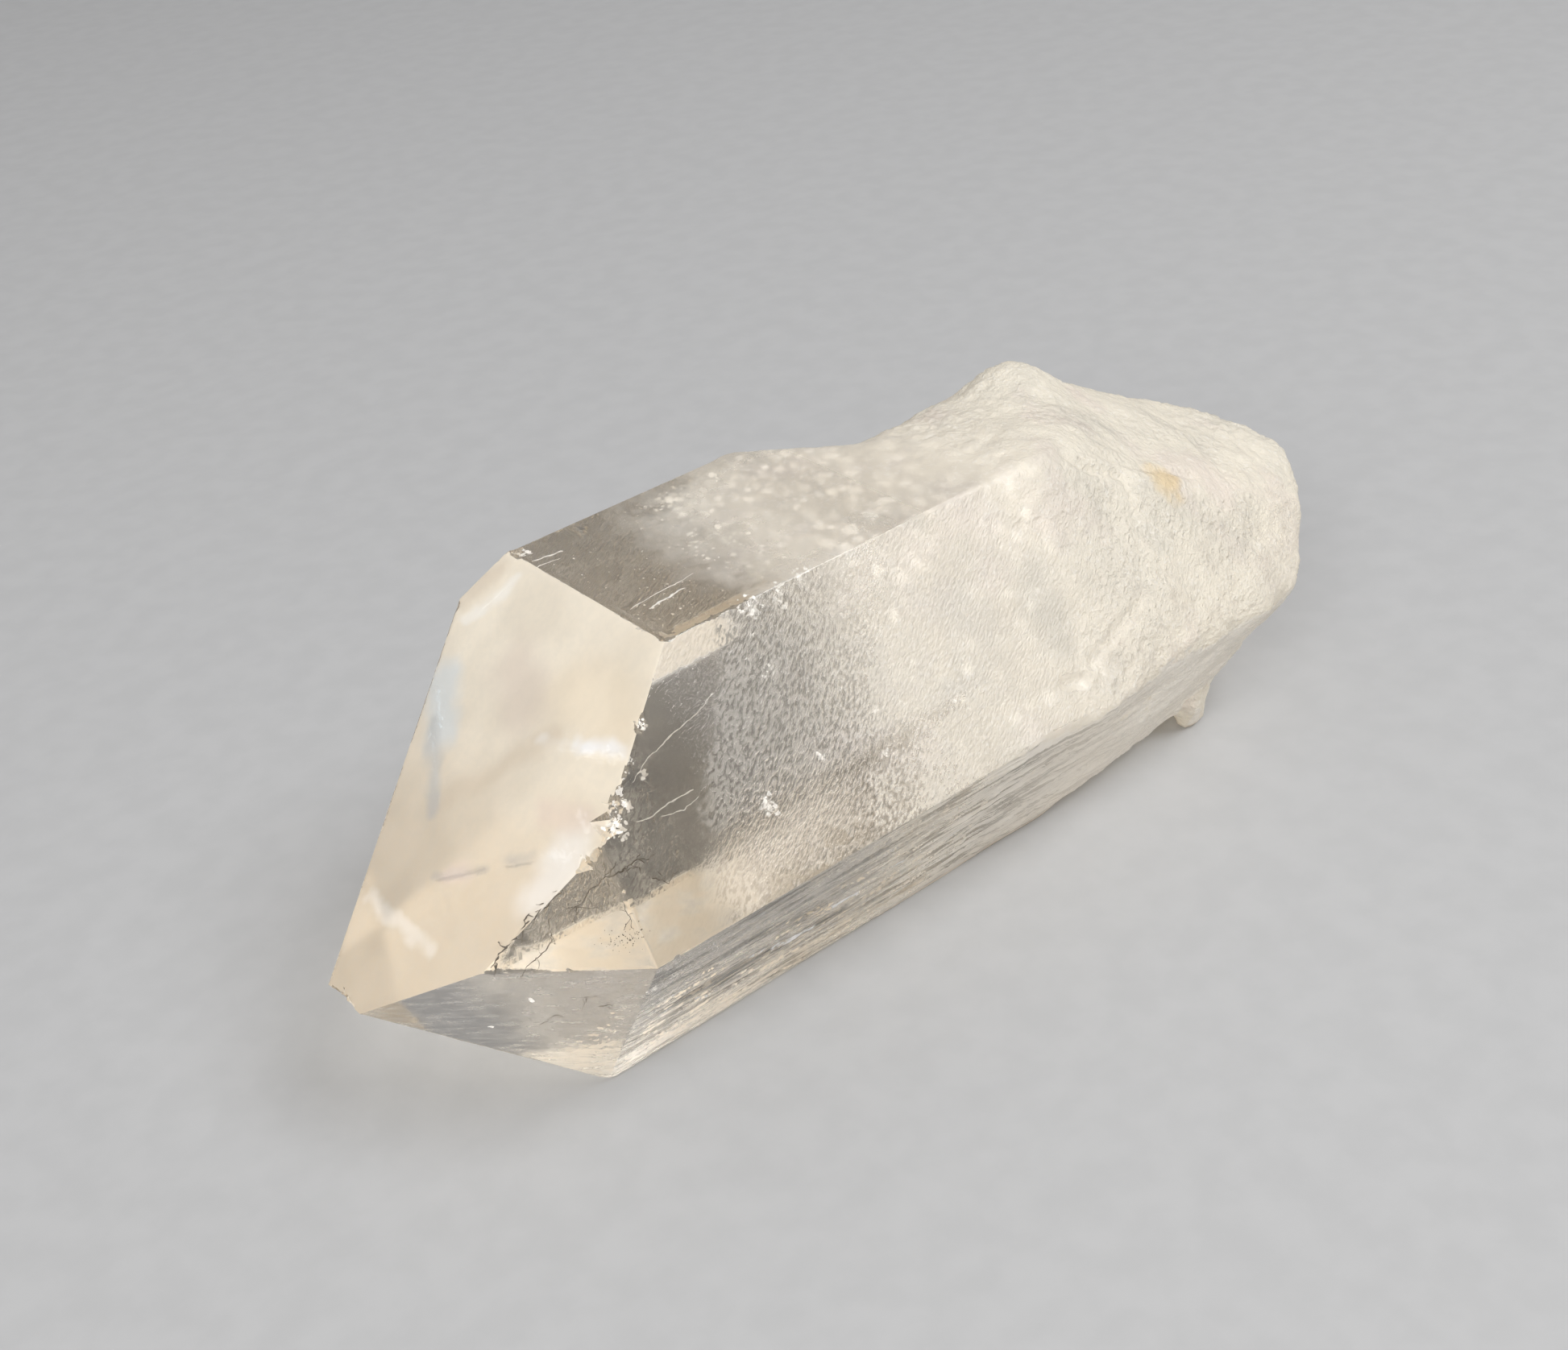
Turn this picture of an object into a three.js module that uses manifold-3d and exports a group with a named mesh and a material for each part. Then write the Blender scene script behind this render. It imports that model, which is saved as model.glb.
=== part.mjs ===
// Quartz crystal point: one six-sided prism with a pointed tip, broken off its matrix at the root.
// Millimetres, +Z up. The long axis lies along X with the tip at +X, and the crystal rests on prism face 4.
// Faces go round the axis: 1 is the top, 2 and 3 go down the +Y side, 4 is the resting face, and 5 and 6
// come back up the -Y side. Tip face 1 grows from prism face 1, and so on.
// Sizes are measured from the prism centre; the finished solid is then set on its bounding box.

import * as THREE from 'three';
import { mergeVertices } from 'three/addons/utils/BufferGeometryUtils.js';
import Module from 'manifold-3d';

// ---- prism and tip ----
const FLAT = 14; // prism centre to prism face
const FACE_NUDGE = [0, -0.05, 0.05, 0, 0, 0.05]; // how far each prism face sits out of true
const TIP_SLOPE = [49.2, 52.5, 51.5, 52.3, 51.8, 49.7]; // degrees from the axis to each tip face's normal
const TIP_REACH = [24.65, 29.45, 29.8, 29.2, 29.6, 26.65]; // prism centre to each tip face

// ---- lengthwise flutes on prism face 3 ----
const FLUTED = 2; // index of the fluted face
const FLUTE_DEPTH = { tip: 0.18, root: 0.52 };
const FLUTE_DEEPENS = [14, -14]; // from the tip depth to the root depth, along X
const FLUTE_FADES = [30, 22]; // flutes die out towards the tip
const FLUTE_WIDTH = 1.9;
const FLUTE_LENGTH = 17;
const FLUTE_SWAY = 0.002; // how much the flutes lean out of line across the face
const FLUTE_MEAN = 0.4; // taken off, so that the flutes lie as much above the face as below it
const FINE_FLUTES = { height: 0.3, width: 1.1, length: 8.5 };
const FLUTE_SEED = 3.1;

// ---- worn root ----
const TAPER_START = [-15, -6, -9, -18, -4, -4]; // where each prism face starts to draw in
const TAPER_LENGTH = [44, 36.5, 43, 34, 38, 38]; // from there to where it would meet the axis
const WORN = [3, -14]; // lumps grow along X from none to full height
const LUMPS_START_ABOVE = [-12.5, -9]; // and from the resting face up
const LUMPS = [
  { size: [6.3, 5.1, 5.1], height: 0.5 },
  { size: [2.7, 2.3, 2.3], height: 0.2 },
];
const EDGE_WEAR = { width: 1.8, from: -4, to: -24 }; // prism edges round off towards the root

// Breaks: flat cuts with an outward normal. reach is the distance from the prism centre, and round is
// the width over which the cut blends into its neighbours.
const SCALLOP = { reach: 12.1, deepest: -3.5, ahead: 0.55, behind: 0.09 }; // in the far top edge
const NEAR_EDGE = { reach: 16.75, from: -10, rise: 0.3 }; // the lower near edge, uncut ahead of its start
const BREAKS = [
  { normal: [-0.42, 0.28, 0.86], round: 1.6, reach: () => 18.5 }, // long slope down from the top
  { normal: [-0.19, 0.87, 0.45], round: 0.9, reach: () => 16.15 }, // near side
  { normal: [-0.45, -0.65, 0.61], round: 1.5, reach: () => 19.6 }, // far side of the slope
  { normal: [0, -0.68, 0.73], round: 1, reach: scallopReach },
  { normal: [-0.1, 0.5, -0.86], round: 0.8, reach: nearEdgeReach },
  { normal: [-0.82, 0.1, -0.56], round: 3, reach: () => 29.5 }, // undercut below the root
  { normal: [-1, 0, 0], round: 4, reach: () => 38.5 }, // end of the root
];

function scallopReach(x) {
  const ahead = Math.max(0, x - SCALLOP.deepest);
  const behind = Math.max(0, SCALLOP.deepest - x);
  return SCALLOP.reach + SCALLOP.ahead * ahead + SCALLOP.behind * behind;
}

function nearEdgeReach(x) {
  return NEAR_EDGE.reach + NEAR_EDGE.rise * Math.max(0, x - NEAR_EDGE.from);
}

// Knolls that stand proud of the worn root.
const KNOLLS = [
  { at: [-18, -4, 13.5], radius: 4.5, height: 0.8 },
  { at: [-34, 4.5, 4], radius: 8, height: 1.1 },
  { at: [-26, 2, 9.5], radius: 5, height: 0.5 },
];

// Knob left on the lower near edge: a short ridge that reaches the resting plane.
const KNOB = { at: [-24.3, 7.1, -11], size: [3.4, 1.5, 3.4], turn: 233, detail: 3 };
const KNOB_UNEVEN = { height: 0.22, frequency: 1.7, seed: 4 };

// ---- mesh density ----
const FRONT_RINGS = [50, 34, 29, 25, 21, 17.5, 14, 11, 8.5, 6]; // along the plain part, past the tip
const RING_STEP = 1.25; // over the worn part
const ROOT_POLE = -20; // behind this, rings sweep round to close the root
const POLAR_RINGS = 24;
const FACE_COLUMNS = [13, 14, 16, 6, 9, 11];
const CAST_REACH = 60; // longer than any distance from the axis to the surface
const CAST_STEPS = 44;
const WELD = 1e-4;
const CUTTER = { side: 140, thickness: 60 }; // blocks that trim the tip faces
const HASH = { i: 127.1, j: 311.7, k: 74.7, spread: 43758.5453 };

const TAU = Math.PI * 2;
const radians = (degrees) => (degrees / 360) * TAU;

// Smooth step from 0 at a to 1 at b.
function ramp(a, b, x) {
  const t = Math.min(1, Math.max(0, (x - a) / (b - a)));
  return t * t * (3 - 2 * t);
}

// Repeatable number from 0 to 1 for a grid point.
function hash(i, j, k) {
  const s = Math.sin(i * HASH.i + j * HASH.j + k * HASH.k) * HASH.spread;
  return s - Math.floor(s);
}

// Smooth repeatable noise from -1 to 1.
function noise(x, y, z) {
  const cell = [x, y, z].map(Math.floor);
  const part = [x - cell[0], y - cell[1], z - cell[2]].map((t) => ramp(0, 1, t));
  let sum = 0;
  for (let corner = 0; corner < 8; corner++) {
    const bits = [corner & 1, (corner >> 1) & 1, (corner >> 2) & 1];
    const weight = bits.reduce((w, bit, n) => w * (bit ? part[n] : 1 - part[n]), 1);
    sum += weight * hash(cell[0] + bits[0], cell[1] + bits[1], cell[2] + bits[2]);
  }
  return sum * 2 - 1;
}

// Larger of two values, rounded where they meet over the given width.
function softMax(a, b, width) {
  if (width <= 0) {
    return Math.max(a, b);
  }
  const near = Math.max(0, 1 - Math.abs(a - b) / width);
  return Math.max(a, b) + (near * near * width) / 4;
}

// Y and Z of the normal of face i: the top face points up, and the next one leans to +Y.
function faceNormal(i) {
  const turn = radians(60 * i);
  return [Math.sin(turn), Math.cos(turn)];
}

const prismFaces = FACE_NUDGE.map((nudge, i) => {
  const [ny, nz] = faceNormal(i);
  return { ny, nz, reach: FLAT + nudge };
});

function fluteDepth(x, across) {
  const depth = THREE.MathUtils.lerp(FLUTE_DEPTH.tip, FLUTE_DEPTH.root, ramp(...FLUTE_DEEPENS, x));
  const sway = FLUTE_SWAY * across * x;
  const broad = Math.abs(noise(x / FLUTE_LENGTH + FLUTE_SEED, across / FLUTE_WIDTH + sway, FLUTE_SEED));
  const fine = noise(x / FINE_FLUTES.length, across / FINE_FLUTES.width, 3 * FLUTE_SEED);
  return depth * (broad - FLUTE_MEAN + FINE_FLUTES.height * fine) * ramp(...FLUTE_FADES, x);
}

// How far a point lies outside a prism face that draws in towards the root.
function outsideFace(i, x, y, z) {
  const face = prismFaces[i];
  const run = Math.max(0, (TAPER_START[i] - x) / TAPER_LENGTH[i]);
  let reach = face.reach * Math.sqrt(Math.max(0, 1 - run * run));
  if (i === FLUTED) {
    reach -= fluteDepth(x, y * face.nz - z * face.ny);
  }
  return face.ny * y + face.nz * z - reach;
}

// Negative inside the untrimmed crystal, positive outside.
function field(x, y, z) {
  const edge = EDGE_WEAR.width * ramp(EDGE_WEAR.from, EDGE_WEAR.to, x);
  let outside = -Infinity;
  prismFaces.forEach((face, i) => {
    outside = softMax(outside, outsideFace(i, x, y, z), edge);
  });
  for (const cut of BREAKS) {
    const along = cut.normal[0] * x + cut.normal[1] * y + cut.normal[2] * z;
    outside = softMax(outside, along - cut.reach(x), cut.round);
  }
  for (const knoll of KNOLLS) {
    const away = Math.hypot(x - knoll.at[0], y - knoll.at[1], z - knoll.at[2]) / knoll.radius;
    outside -= knoll.height * Math.max(0, 1 - away * away) ** 2;
  }
  const wear = ramp(...WORN, x) * ramp(...LUMPS_START_ABOVE, z);
  for (const { size, height } of LUMPS) {
    outside -= wear * height * noise(x / size[0], y / size[1], z / size[2] + size[0]);
  }
  return outside;
}

// Distance from a point on the axis to the surface along a direction.
function cast(x, direction) {
  let near = 0;
  let far = CAST_REACH;
  for (let i = 0; i < CAST_STEPS; i++) {
    const middle = (near + far) / 2;
    const inside = field(x + direction[0] * middle, direction[1] * middle, direction[2] * middle) < 0;
    if (inside) {
      near = middle;
    } else {
      far = middle;
    }
  }
  return (near + far) / 2;
}

// Point of the prism's section where two faces meet.
function corner(a, b) {
  const spread = a.ny * b.nz - b.ny * a.nz;
  return [(a.reach * b.nz - b.reach * a.nz) / spread, (a.ny * b.reach - b.ny * a.reach) / spread];
}

// Directions from the axis to the section's outline, evenly along each face, with one on every edge.
function columnDirections() {
  return prismFaces.flatMap((face, i) => {
    const from = corner(prismFaces[(i + 5) % 6], face);
    const to = corner(face, prismFaces[(i + 1) % 6]);
    return Array.from({ length: FACE_COLUMNS[i] }, (_, c) => {
      const t = c / FACE_COLUMNS[i];
      return new THREE.Vector2(...from).lerp(new THREE.Vector2(...to), t).normalize();
    });
  });
}

// Rings of rays: upright along the prism, then leaning back until they point to the root.
function ringList() {
  const rings = FRONT_RINGS.map((x) => ({ x, lean: 0 }));
  for (let x = FRONT_RINGS.at(-1) - RING_STEP; x > ROOT_POLE; x -= RING_STEP) {
    rings.push({ x, lean: 0 });
  }
  for (let i = 0; i < POLAR_RINGS; i++) {
    rings.push({ x: ROOT_POLE, lean: ((i / POLAR_RINGS) * TAU) / 4 });
  }
  return rings;
}

// The prism and root as one closed mesh with a blunt front, longer than the finished tip.
function bodyGeometry() {
  const columns = columnDirections();
  const rings = ringList();
  const position = [];
  for (const ring of rings) {
    for (const column of columns) {
      const upright = Math.cos(ring.lean);
      const direction = [-Math.sin(ring.lean), column.x * upright, column.y * upright];
      const t = cast(ring.x, direction);
      position.push(ring.x + direction[0] * t, direction[1] * t, Math.max(-FLAT, direction[2] * t));
    }
  }
  const n = columns.length;
  const last = (rings.length - 1) * n;
  const frontPole = rings.length * n;
  const rootPole = frontPole + 1;
  position.push(FRONT_RINGS[0], 0, 0);
  position.push(ROOT_POLE - cast(ROOT_POLE, [-1, 0, 0]), 0, 0);

  const index = [];
  for (let c = 0; c < n; c++) {
    const d = (c + 1) % n;
    for (let r = 0; r < last; r += n) {
      index.push(r + c, r + d, r + c + n);
      index.push(r + d, r + d + n, r + c + n);
    }
    index.push(frontPole, d, c);
    index.push(rootPole, last + c, last + d);
  }
  const geometry = new THREE.BufferGeometry();
  geometry.setAttribute('position', new THREE.Float32BufferAttribute(position, 3));
  geometry.setIndex(index);
  return geometry;
}

function withoutShading(geometry) {
  geometry.deleteAttribute('normal');
  geometry.deleteAttribute('uv');
  return geometry;
}

// A block whose lower side lies on a tip face.
function tipCutter(i) {
  const slope = radians(TIP_SLOPE[i]);
  const [ny, nz] = faceNormal(i);
  const normal = new THREE.Vector3(Math.cos(slope), Math.sin(slope) * ny, Math.sin(slope) * nz);
  const block = new THREE.BoxGeometry(CUTTER.side, CUTTER.side, CUTTER.thickness);
  block.translate(0, 0, TIP_REACH[i] + CUTTER.thickness / 2);
  block.applyQuaternion(new THREE.Quaternion().setFromUnitVectors(new THREE.Vector3(0, 0, 1), normal));
  return withoutShading(block);
}

function knobGeometry() {
  const geometry = mergeVertices(withoutShading(new THREE.IcosahedronGeometry(1, KNOB.detail)), WELD);
  const points = geometry.attributes.position;
  const turn = radians(KNOB.turn);
  for (let i = 0; i < points.count; i++) {
    const unit = [points.getX(i), points.getY(i), points.getZ(i)];
    const [a, b, c] = unit.map((v) => v * KNOB_UNEVEN.frequency);
    const swell = 1 + KNOB_UNEVEN.height * noise(a + KNOB_UNEVEN.seed, b, c);
    const [along, across, up] = unit.map((v, axis) => v * swell * KNOB.size[axis]);
    const x = KNOB.at[0] + along * Math.cos(turn) - across * Math.sin(turn);
    const y = KNOB.at[1] + along * Math.sin(turn) + across * Math.cos(turn);
    points.setXYZ(i, x, y, Math.max(-FLAT, KNOB.at[2] + up));
  }
  return geometry;
}

const wasm = await Module();
wasm.setup();

function solid(geometry) {
  const merged = mergeVertices(geometry, WELD);
  const mesh = new wasm.Mesh({
    numProp: 3,
    vertProperties: merged.attributes.position.array,
    triVerts: new Uint32Array(merged.index.array),
  });
  return new wasm.Manifold(mesh);
}

function crystalGeometry() {
  let crystal = solid(bodyGeometry()).add(solid(knobGeometry()));
  for (let i = 0; i < TIP_REACH.length; i++) {
    crystal = crystal.subtract(solid(tipCutter(i)));
  }
  const { vertProperties, triVerts } = crystal.getMesh();
  const geometry = new THREE.BufferGeometry();
  geometry.setAttribute('position', new THREE.Float32BufferAttribute(vertProperties, 3));
  geometry.setIndex(Array.from(triVerts));
  geometry.computeBoundingBox();
  const { min, max } = geometry.boundingBox;
  geometry.translate(-(min.x + max.x) / 2, -(min.y + max.y) / 2, -min.z);
  geometry.computeVertexNormals();
  return geometry;
}

const quartz = new THREE.MeshStandardMaterial({ color: 0xd9d6cc, roughness: 0.25, metalness: 0 });
const crystal = new THREE.Mesh(crystalGeometry(), quartz);
crystal.name = 'quartz_crystal';

const part = new THREE.Group();
part.name = 'quartz_crystal_point';
part.add(crystal);
export default part;
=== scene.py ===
import math
import random

import bmesh
import bpy
from mathutils import Matrix, Vector, bvhtree, kdtree, noise


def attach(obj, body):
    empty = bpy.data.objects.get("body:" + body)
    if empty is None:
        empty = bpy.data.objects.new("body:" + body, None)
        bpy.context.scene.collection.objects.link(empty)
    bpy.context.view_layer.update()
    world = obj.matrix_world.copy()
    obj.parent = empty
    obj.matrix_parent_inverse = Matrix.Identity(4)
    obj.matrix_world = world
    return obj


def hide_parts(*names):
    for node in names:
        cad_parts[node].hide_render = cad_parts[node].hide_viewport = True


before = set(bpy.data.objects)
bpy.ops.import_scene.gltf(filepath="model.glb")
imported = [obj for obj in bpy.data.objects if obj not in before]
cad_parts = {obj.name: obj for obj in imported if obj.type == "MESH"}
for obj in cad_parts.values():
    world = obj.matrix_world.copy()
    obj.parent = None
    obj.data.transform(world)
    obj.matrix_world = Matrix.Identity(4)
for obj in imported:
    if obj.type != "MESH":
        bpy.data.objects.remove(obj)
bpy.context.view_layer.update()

# A clear to milky quartz crystal point that lies on a prism face, its tip at +X and its broken
# root at -X. Places and lengths are in millimetres, in the frame's own axes; MM turns them into
# metres. Prism face 1 is the top, and the numbers run down the photo's side: the near face is 2,
# the lower face is 3, and the far face on the hidden side is 5.

MM = 0.001
NODE = "quartz_crystal"
BODY = "root"
PRISM_CENTRE = Vector((2.7, -0.2, 14.0))  # a point on the crystal's long axis, where the lights aim

# ---- camera, lights and floor ----
CAMERA_AT = Vector((75.51, 95.5, 90.2))
CAMERA_AIM = Vector((2.38, -3.21, 13.16))
CAMERA_ROLL = math.radians(6.07)
LENS = 48.94
SENSOR = 36.0
CLIP = (1.0, 4000.0)
LIGHTS = (
    # name, place, size and watts
    ("key", (-300, 500, 800), 550, 8),
    ("side", (620, 430, 560), 450, 5),
)
SKY_TINT = (0.8, 0.8, 0.82)
SKY_STRENGTH = 0.38
FLOOR_HALF = 3000.0
FLOOR_DROP = 0.05
FLOOR_TINTS = ((0.42, 0.42, 0.42), (0.44, 0.44, 0.44))
FLOOR_ROUGH = 0.6
BOUNCES = {"max_bounces": 24, "diffuse_bounces": 8, "glossy_bounces": 16, "transmission_bounces": 24}

# ---- crystal faces ----
PRISM_STEP = 60  # degrees between neighbouring prism faces
TIP_SLOPE = 49.5  # degrees from the axis to a tip face's normal

# ---- mesh density ----
WELD = 0.001
SLIVER = 0.004
FLAT_ANGLE = math.radians(0.25)
COPLANAR_ANGLE = math.radians(1)
FEATURE_ANGLE = math.radians(25)
SHARP_ANGLE = math.radians(17)
FEATURE_AREA = 15.0  # an edge is a crystal edge when a face beside it is at least this large
SPLITS = (24, 12, 6, 3, 1.5, 0.8, 0.4, 0.2)
SPLIT_SLACK = 1.35  # an edge is split when it is this many times too long
FINE = 0.17  # beside the crystal edges
WORN = 0.36  # over the worn root
FLUTED = 0.27
FLUTED_BOX = (8, 14)  # the fluted part has y above the one and z below the other
PLAIN = 1.4
EDGE_ZONE = 0.75
EDGE_SAMPLE = 0.1

# ---- relief ----
WORN_FROM, WORN_TO = 0.0, -9.0
REST_BAND = (0.3, 1.6)  # relief starts this far above the resting plane
SMOOTH_ROUNDS = 10
SMOOTH_SHARE = 0.6
SMOOTH_LEAST = 0.01
SMOOTH_FLUTES = 0.7
SMOOTH_FLUTES_Z = (0.8, 13.5)
SMOOTH_EDGE = 0.6  # within this of a crystal edge, smoothing waits for the worn part
SMOOTH_EDGE_X = (-2, -10)
EDGE_WEAR = 0.028
WEAR_REACH = 2.0
WEAR_SWAY = (0.6, 2)  # share and size of the noise in the edge wear
CHIPPED = (0.16, 1.1, 0.38)  # depth of small random chips, their noise's size and threshold
CHIP_SHIFT = Vector((9, 0, 0))
CHIP_GRAIN = (0.75, 0.5, 0.35)  # a chip's depth: least share, and share and size of its noise
CHIP_SPOTS = (
    # place, radius, depth
    ((26.1, 12, 21.2), 1.5, 0.42),
    ((25.2, 11.5, 22), 0.9, 0.3),
    ((23.4, 11.1, 22.6), 0.8, 0.3),
    ((22.2, 9.9, 24.8), 0.7, 0.24),
    ((28.6, 11.6, 20.2), 1.2, 0.3),
    ((31, 9.9, 18.3), 0.9, 0.22),
    ((18.2, -7.4, 28), 0.9, 0.3),
    ((18.4, 7.6, 28), 0.5, 0.16),
    ((39.6, 0.4, 9.4), 1.6, 0.35),
    ((26.6, 13.9, 11.2), 1, 0.25),
)
EDGE_FACETS = (
    # narrow facets that grew along an edge: from, to, depth
    ((18, -8.1, 28), (3, -8.1, 28), 0.13),
    ((27, 8.2, 0), (6, 8.2, 0), 0.16),
    ((-1, 8.1, 28), (-12, 8.1, 28), 0.09),
)
GROOVES = (
    # ledges and creases of the root: depth, width and path
    (0.4, 0.35, ((-14, 7.6, 27.3), (-15.3, 8.5, 25.8), (-18.5, 8.7, 24.2))),
    (0.3, 0.35, ((-17.9, 7.5, 25.5), (-21.8, 8.3, 23.3), (-25.5, 8.6, 21.3))),
    (0.25, 0.45, ((-18.4, 9.1, 23.7), (-17.2, 11.6, 21), (-15.2, 13.5, 18.2), (-9.5, 14.5, 16.3))),
    (0.45, 0.28, ((-6.4, 14.8, 16.1), (-8, 15, 15.7))),
)
GROWTH_STEPS = (
    # shallow steps beside the tip edge: depth, width and path
    (0.07, 0.13, ((18.25, 2.6, 28), (18.15, 7.6, 28))),
    (0.05, 0.1, ((17.85, 4.4, 28), (17.9, 7.8, 28))),
)
SCALY_RIDGE = ((-22, 14.6, 13.8), (-9.5, 15.1, 15.6))
GROWTH_STEP_Z = 27.5
GROWTH_STEP_X = (17, 18.9)
FACET_FADE = (1.5, 0.3)
RELIEF_TOP = ((23.5, 25.5), (-3, -10))  # z and x over which the rough top edge comes in
RELIEF_RIM = (-24, -34)
RIM_SHARES = (0.7, 1.2)  # how much of the rim's roughness the top edge and the scaly ridge have
RIDGE_REACH = (3, 0.8)
LUMPS = (0.12, 1.9)  # height and size
PITS = (0.04, 0.14, 0.8)  # height, more of it at the rim, and size
PITS_SHIFT = Vector((0, 31, 0))
TOP_RIPPLE = (0.1, 5, 0.8)  # height, stretch along x and size
FLUTES = (0.15, 9, 0.7)  # height, stretch along x and size
FINE_FLUTES = (0.05, 2.2, 0.5)  # height, how much finer, and size
FLUTE_EDGE = (0.3, 0.9)  # flutes fade in over this distance from a crystal edge
FLUTE_END = (32, 26)
LOWER_Y = (7.5, 9)
LOWER_TOP = (14.6, 13.6)
LOWER_FOOT = (0.3, 1.2)
LOWER_BACK = (-26, -14)

# ---- inclusions ----
SEEDS = {
    "milky_veils": 11,
    "bright_fractures": 12,
    "white_wisps": 13,
    "blue_wisps": 14,
    "grey_wisps": 15,
    "dark_cracks": 16,
    "silky_threads": 17,
    "wander": 1,  # of noise_vector, which the clock seeds otherwise
}
FLAKE_BOX = ((-12, -15, 0.6), (24, 15.5, 27.6))
FLAKE_TRIES = 60000
FLAKE_MOST = 9000
FLAKE_DEPTH = 0.9  # least depth under the surface
FLAKE_SIDES = (5, 7)
FLAKE_RIM = (0.55, 1.1)
FLAKE_RADIUS = (0.04, 0.11)
FLAKE_GROWTH = (0.6, (1, 12))  # how much larger flakes get, over this way into the cloud
FLAKE_FLATNESS = 0.25
EDGE_DEPTH = (2, (4, -3))  # flakes keep this much deeper at the cloud's thin front
VEIL_SWAY = (3, 6)  # the cloud's front sways by this, with a noise of this size
VEIL_FRONT = (0.12, (-9, -2))  # chance of a flake in the cloud's thin front, over this way in
VEIL_BODY = (0.88, (0, 8))  # and what its body adds
VEIL_WISPS = ((-0.15, 0.5), 4, 0.25)  # noise range, size and least share
VEIL_SHIFT = Vector((50, 0, 0))
CRACK_GAP = (0.12, 0.08)  # a plate moves in above the first depth, and is left out above the other
CRACK_SPREAD = 0.6
CRACK_PLATE = (0.06, 0.2)
CRACK_THICK = 0.03
CRACK_FACING = Vector((0.1, 0.8, 0.6))
CRACK_TILT = 0.6
WISP_GAP = 0.15
WISP_THICK = 0.02
WISP_TILT = 0.5
WISP_FLATNESS = 0.7
WISP_RADII = (0.5, 1.3)
TUBE_STEP = 0.12
TUBE_SIDES = 4
TUBE_SIDEWAYS = Vector((0, 0.6, 0.8))
TUBE_WANDER = ((0.6, 0.09), (0.22, 0.05))  # size and reach of each noise
TUBE_SWELL = (0.3, 1.3, 0.35, 0.4)  # least thickness, share and size of its noise, more at the middle
TWIG_STEP = 0.55  # from one side twig of a crack to the next
TWIG_REACH = (0.3, 0.9)
TWIG_LEAN = (0.4, 1)
TWIG_ACROSS = Vector((0.61, 0.69, 0.4))
TWIG_BEND = Vector((-0.02, -0.05, -0.02))
TWIG_SWAY = 0.15
TWIG_RADII = (0.35, 0.8)
TIP_FACE = Vector((0.65, 0, 0.76))
DARK_RAGGED = 2.2
MINERALS = {
    # two tints and the roughness of what lies inside the crystal
    "veil": ((0.96, 0.94, 0.9), (0.93, 0.89, 0.82), 0.45),
    "bright_fracture": ((0.98, 0.97, 0.95), (0.96, 0.94, 0.9), 0.2),
    "blue_film": ((0.62, 0.74, 0.84), (0.8, 0.86, 0.9), 0.3),
    "dark_crack": ((0.1, 0.085, 0.07), (0.2, 0.17, 0.13), 0.4),
}
FLAKE_GLOSS = (0.7, 1.3)  # range of the flakes' roughness, as a share of it
BRIGHT_FRACTURES = (
    # place, spread, count
    ((12.4, 7.7, 27.3), 0.8, 34),
    ((10.4, 7.9, 27.2), 0.8, 16),
    ((8.2, 7.4, 27.5), 0.8, 12),
    ((16.7, 13.2, 17.9), 0.75, 34),
    ((5.4, 12.6, 19.3), 0.35, 9),
    ((3.7, 11.7, 21.1), 0.25, 6),
    ((7.3, 12.4, 19.7), 0.25, 4),
    ((8.1, 13.7, 17.5), 0.35, 7),
    ((12.3, 12.8, 19), 0.4, 9),
    ((26.2, 11.7, 20.6), 0.8, 44),
    ((25, 11.3, 21.6), 0.5, 12),
    ((23.3, 10.8, 22.4), 0.3, 7),
    ((22, 9.5, 24.6), 0.35, 8),
    ((18, -7.3, 27.7), 0.45, 14),
    ((32.2, 9.5, 10.8), 0.25, 5),
    ((33.6, 6.4, 7.7), 0.2, 3),
    ((26.8, 13.6, 10.9), 0.3, 5),
    ((-7.9, 14.8, 15.2), 0.35, 8),
    ((1.5, 13, 18.5), 1.6, 8),
    ((13, 9.5, 24.5), 2.2, 12),
)
HAIRLINES = (
    # half width and path of thin bright cracks under the faces
    (
        0.035,
        ((24.2, 11, 22.5), (22.7, 10.6, 23.2), (21, 10.35, 23.6), (18.7, 10.1, 24), (17.2, 9.8, 24.5)),
    ),
    (0.045, ((25, 12, 20.6), (23.9, 12.1, 20.5), (22.7, 12, 20.7), (20.9, 12, 20.8))),
    (0.03, ((23.4, 12.2, 20.3), (22, 12.3, 20), (20.8, 12.2, 20.3))),
    (0.06, ((18.6, -5.9, 27.85), (16.5, -5.6, 27.85))),
    (0.035, ((18.9, -5.2, 27.8), (17.2, -5, 27.8))),
    (0.07, ((17.1, 4.2, 27.85), (15.5, 4, 27.85), (14.2, 3.8, 27.85))),
    (0.035, ((17.9, 3.4, 27.8), (15.9, 3.1, 27.8), (12.8, 2.9, 27.8))),
    (0.022, ((35.6, -2.3, 13.3), (35.9, 0.6, 13), (35.4, 3.4, 13.5))),
    (0.03, ((22.9, -8, 24.3), (21.2, -7.1, 25.8), (19.7, -6.2, 27.1))),
)
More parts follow.
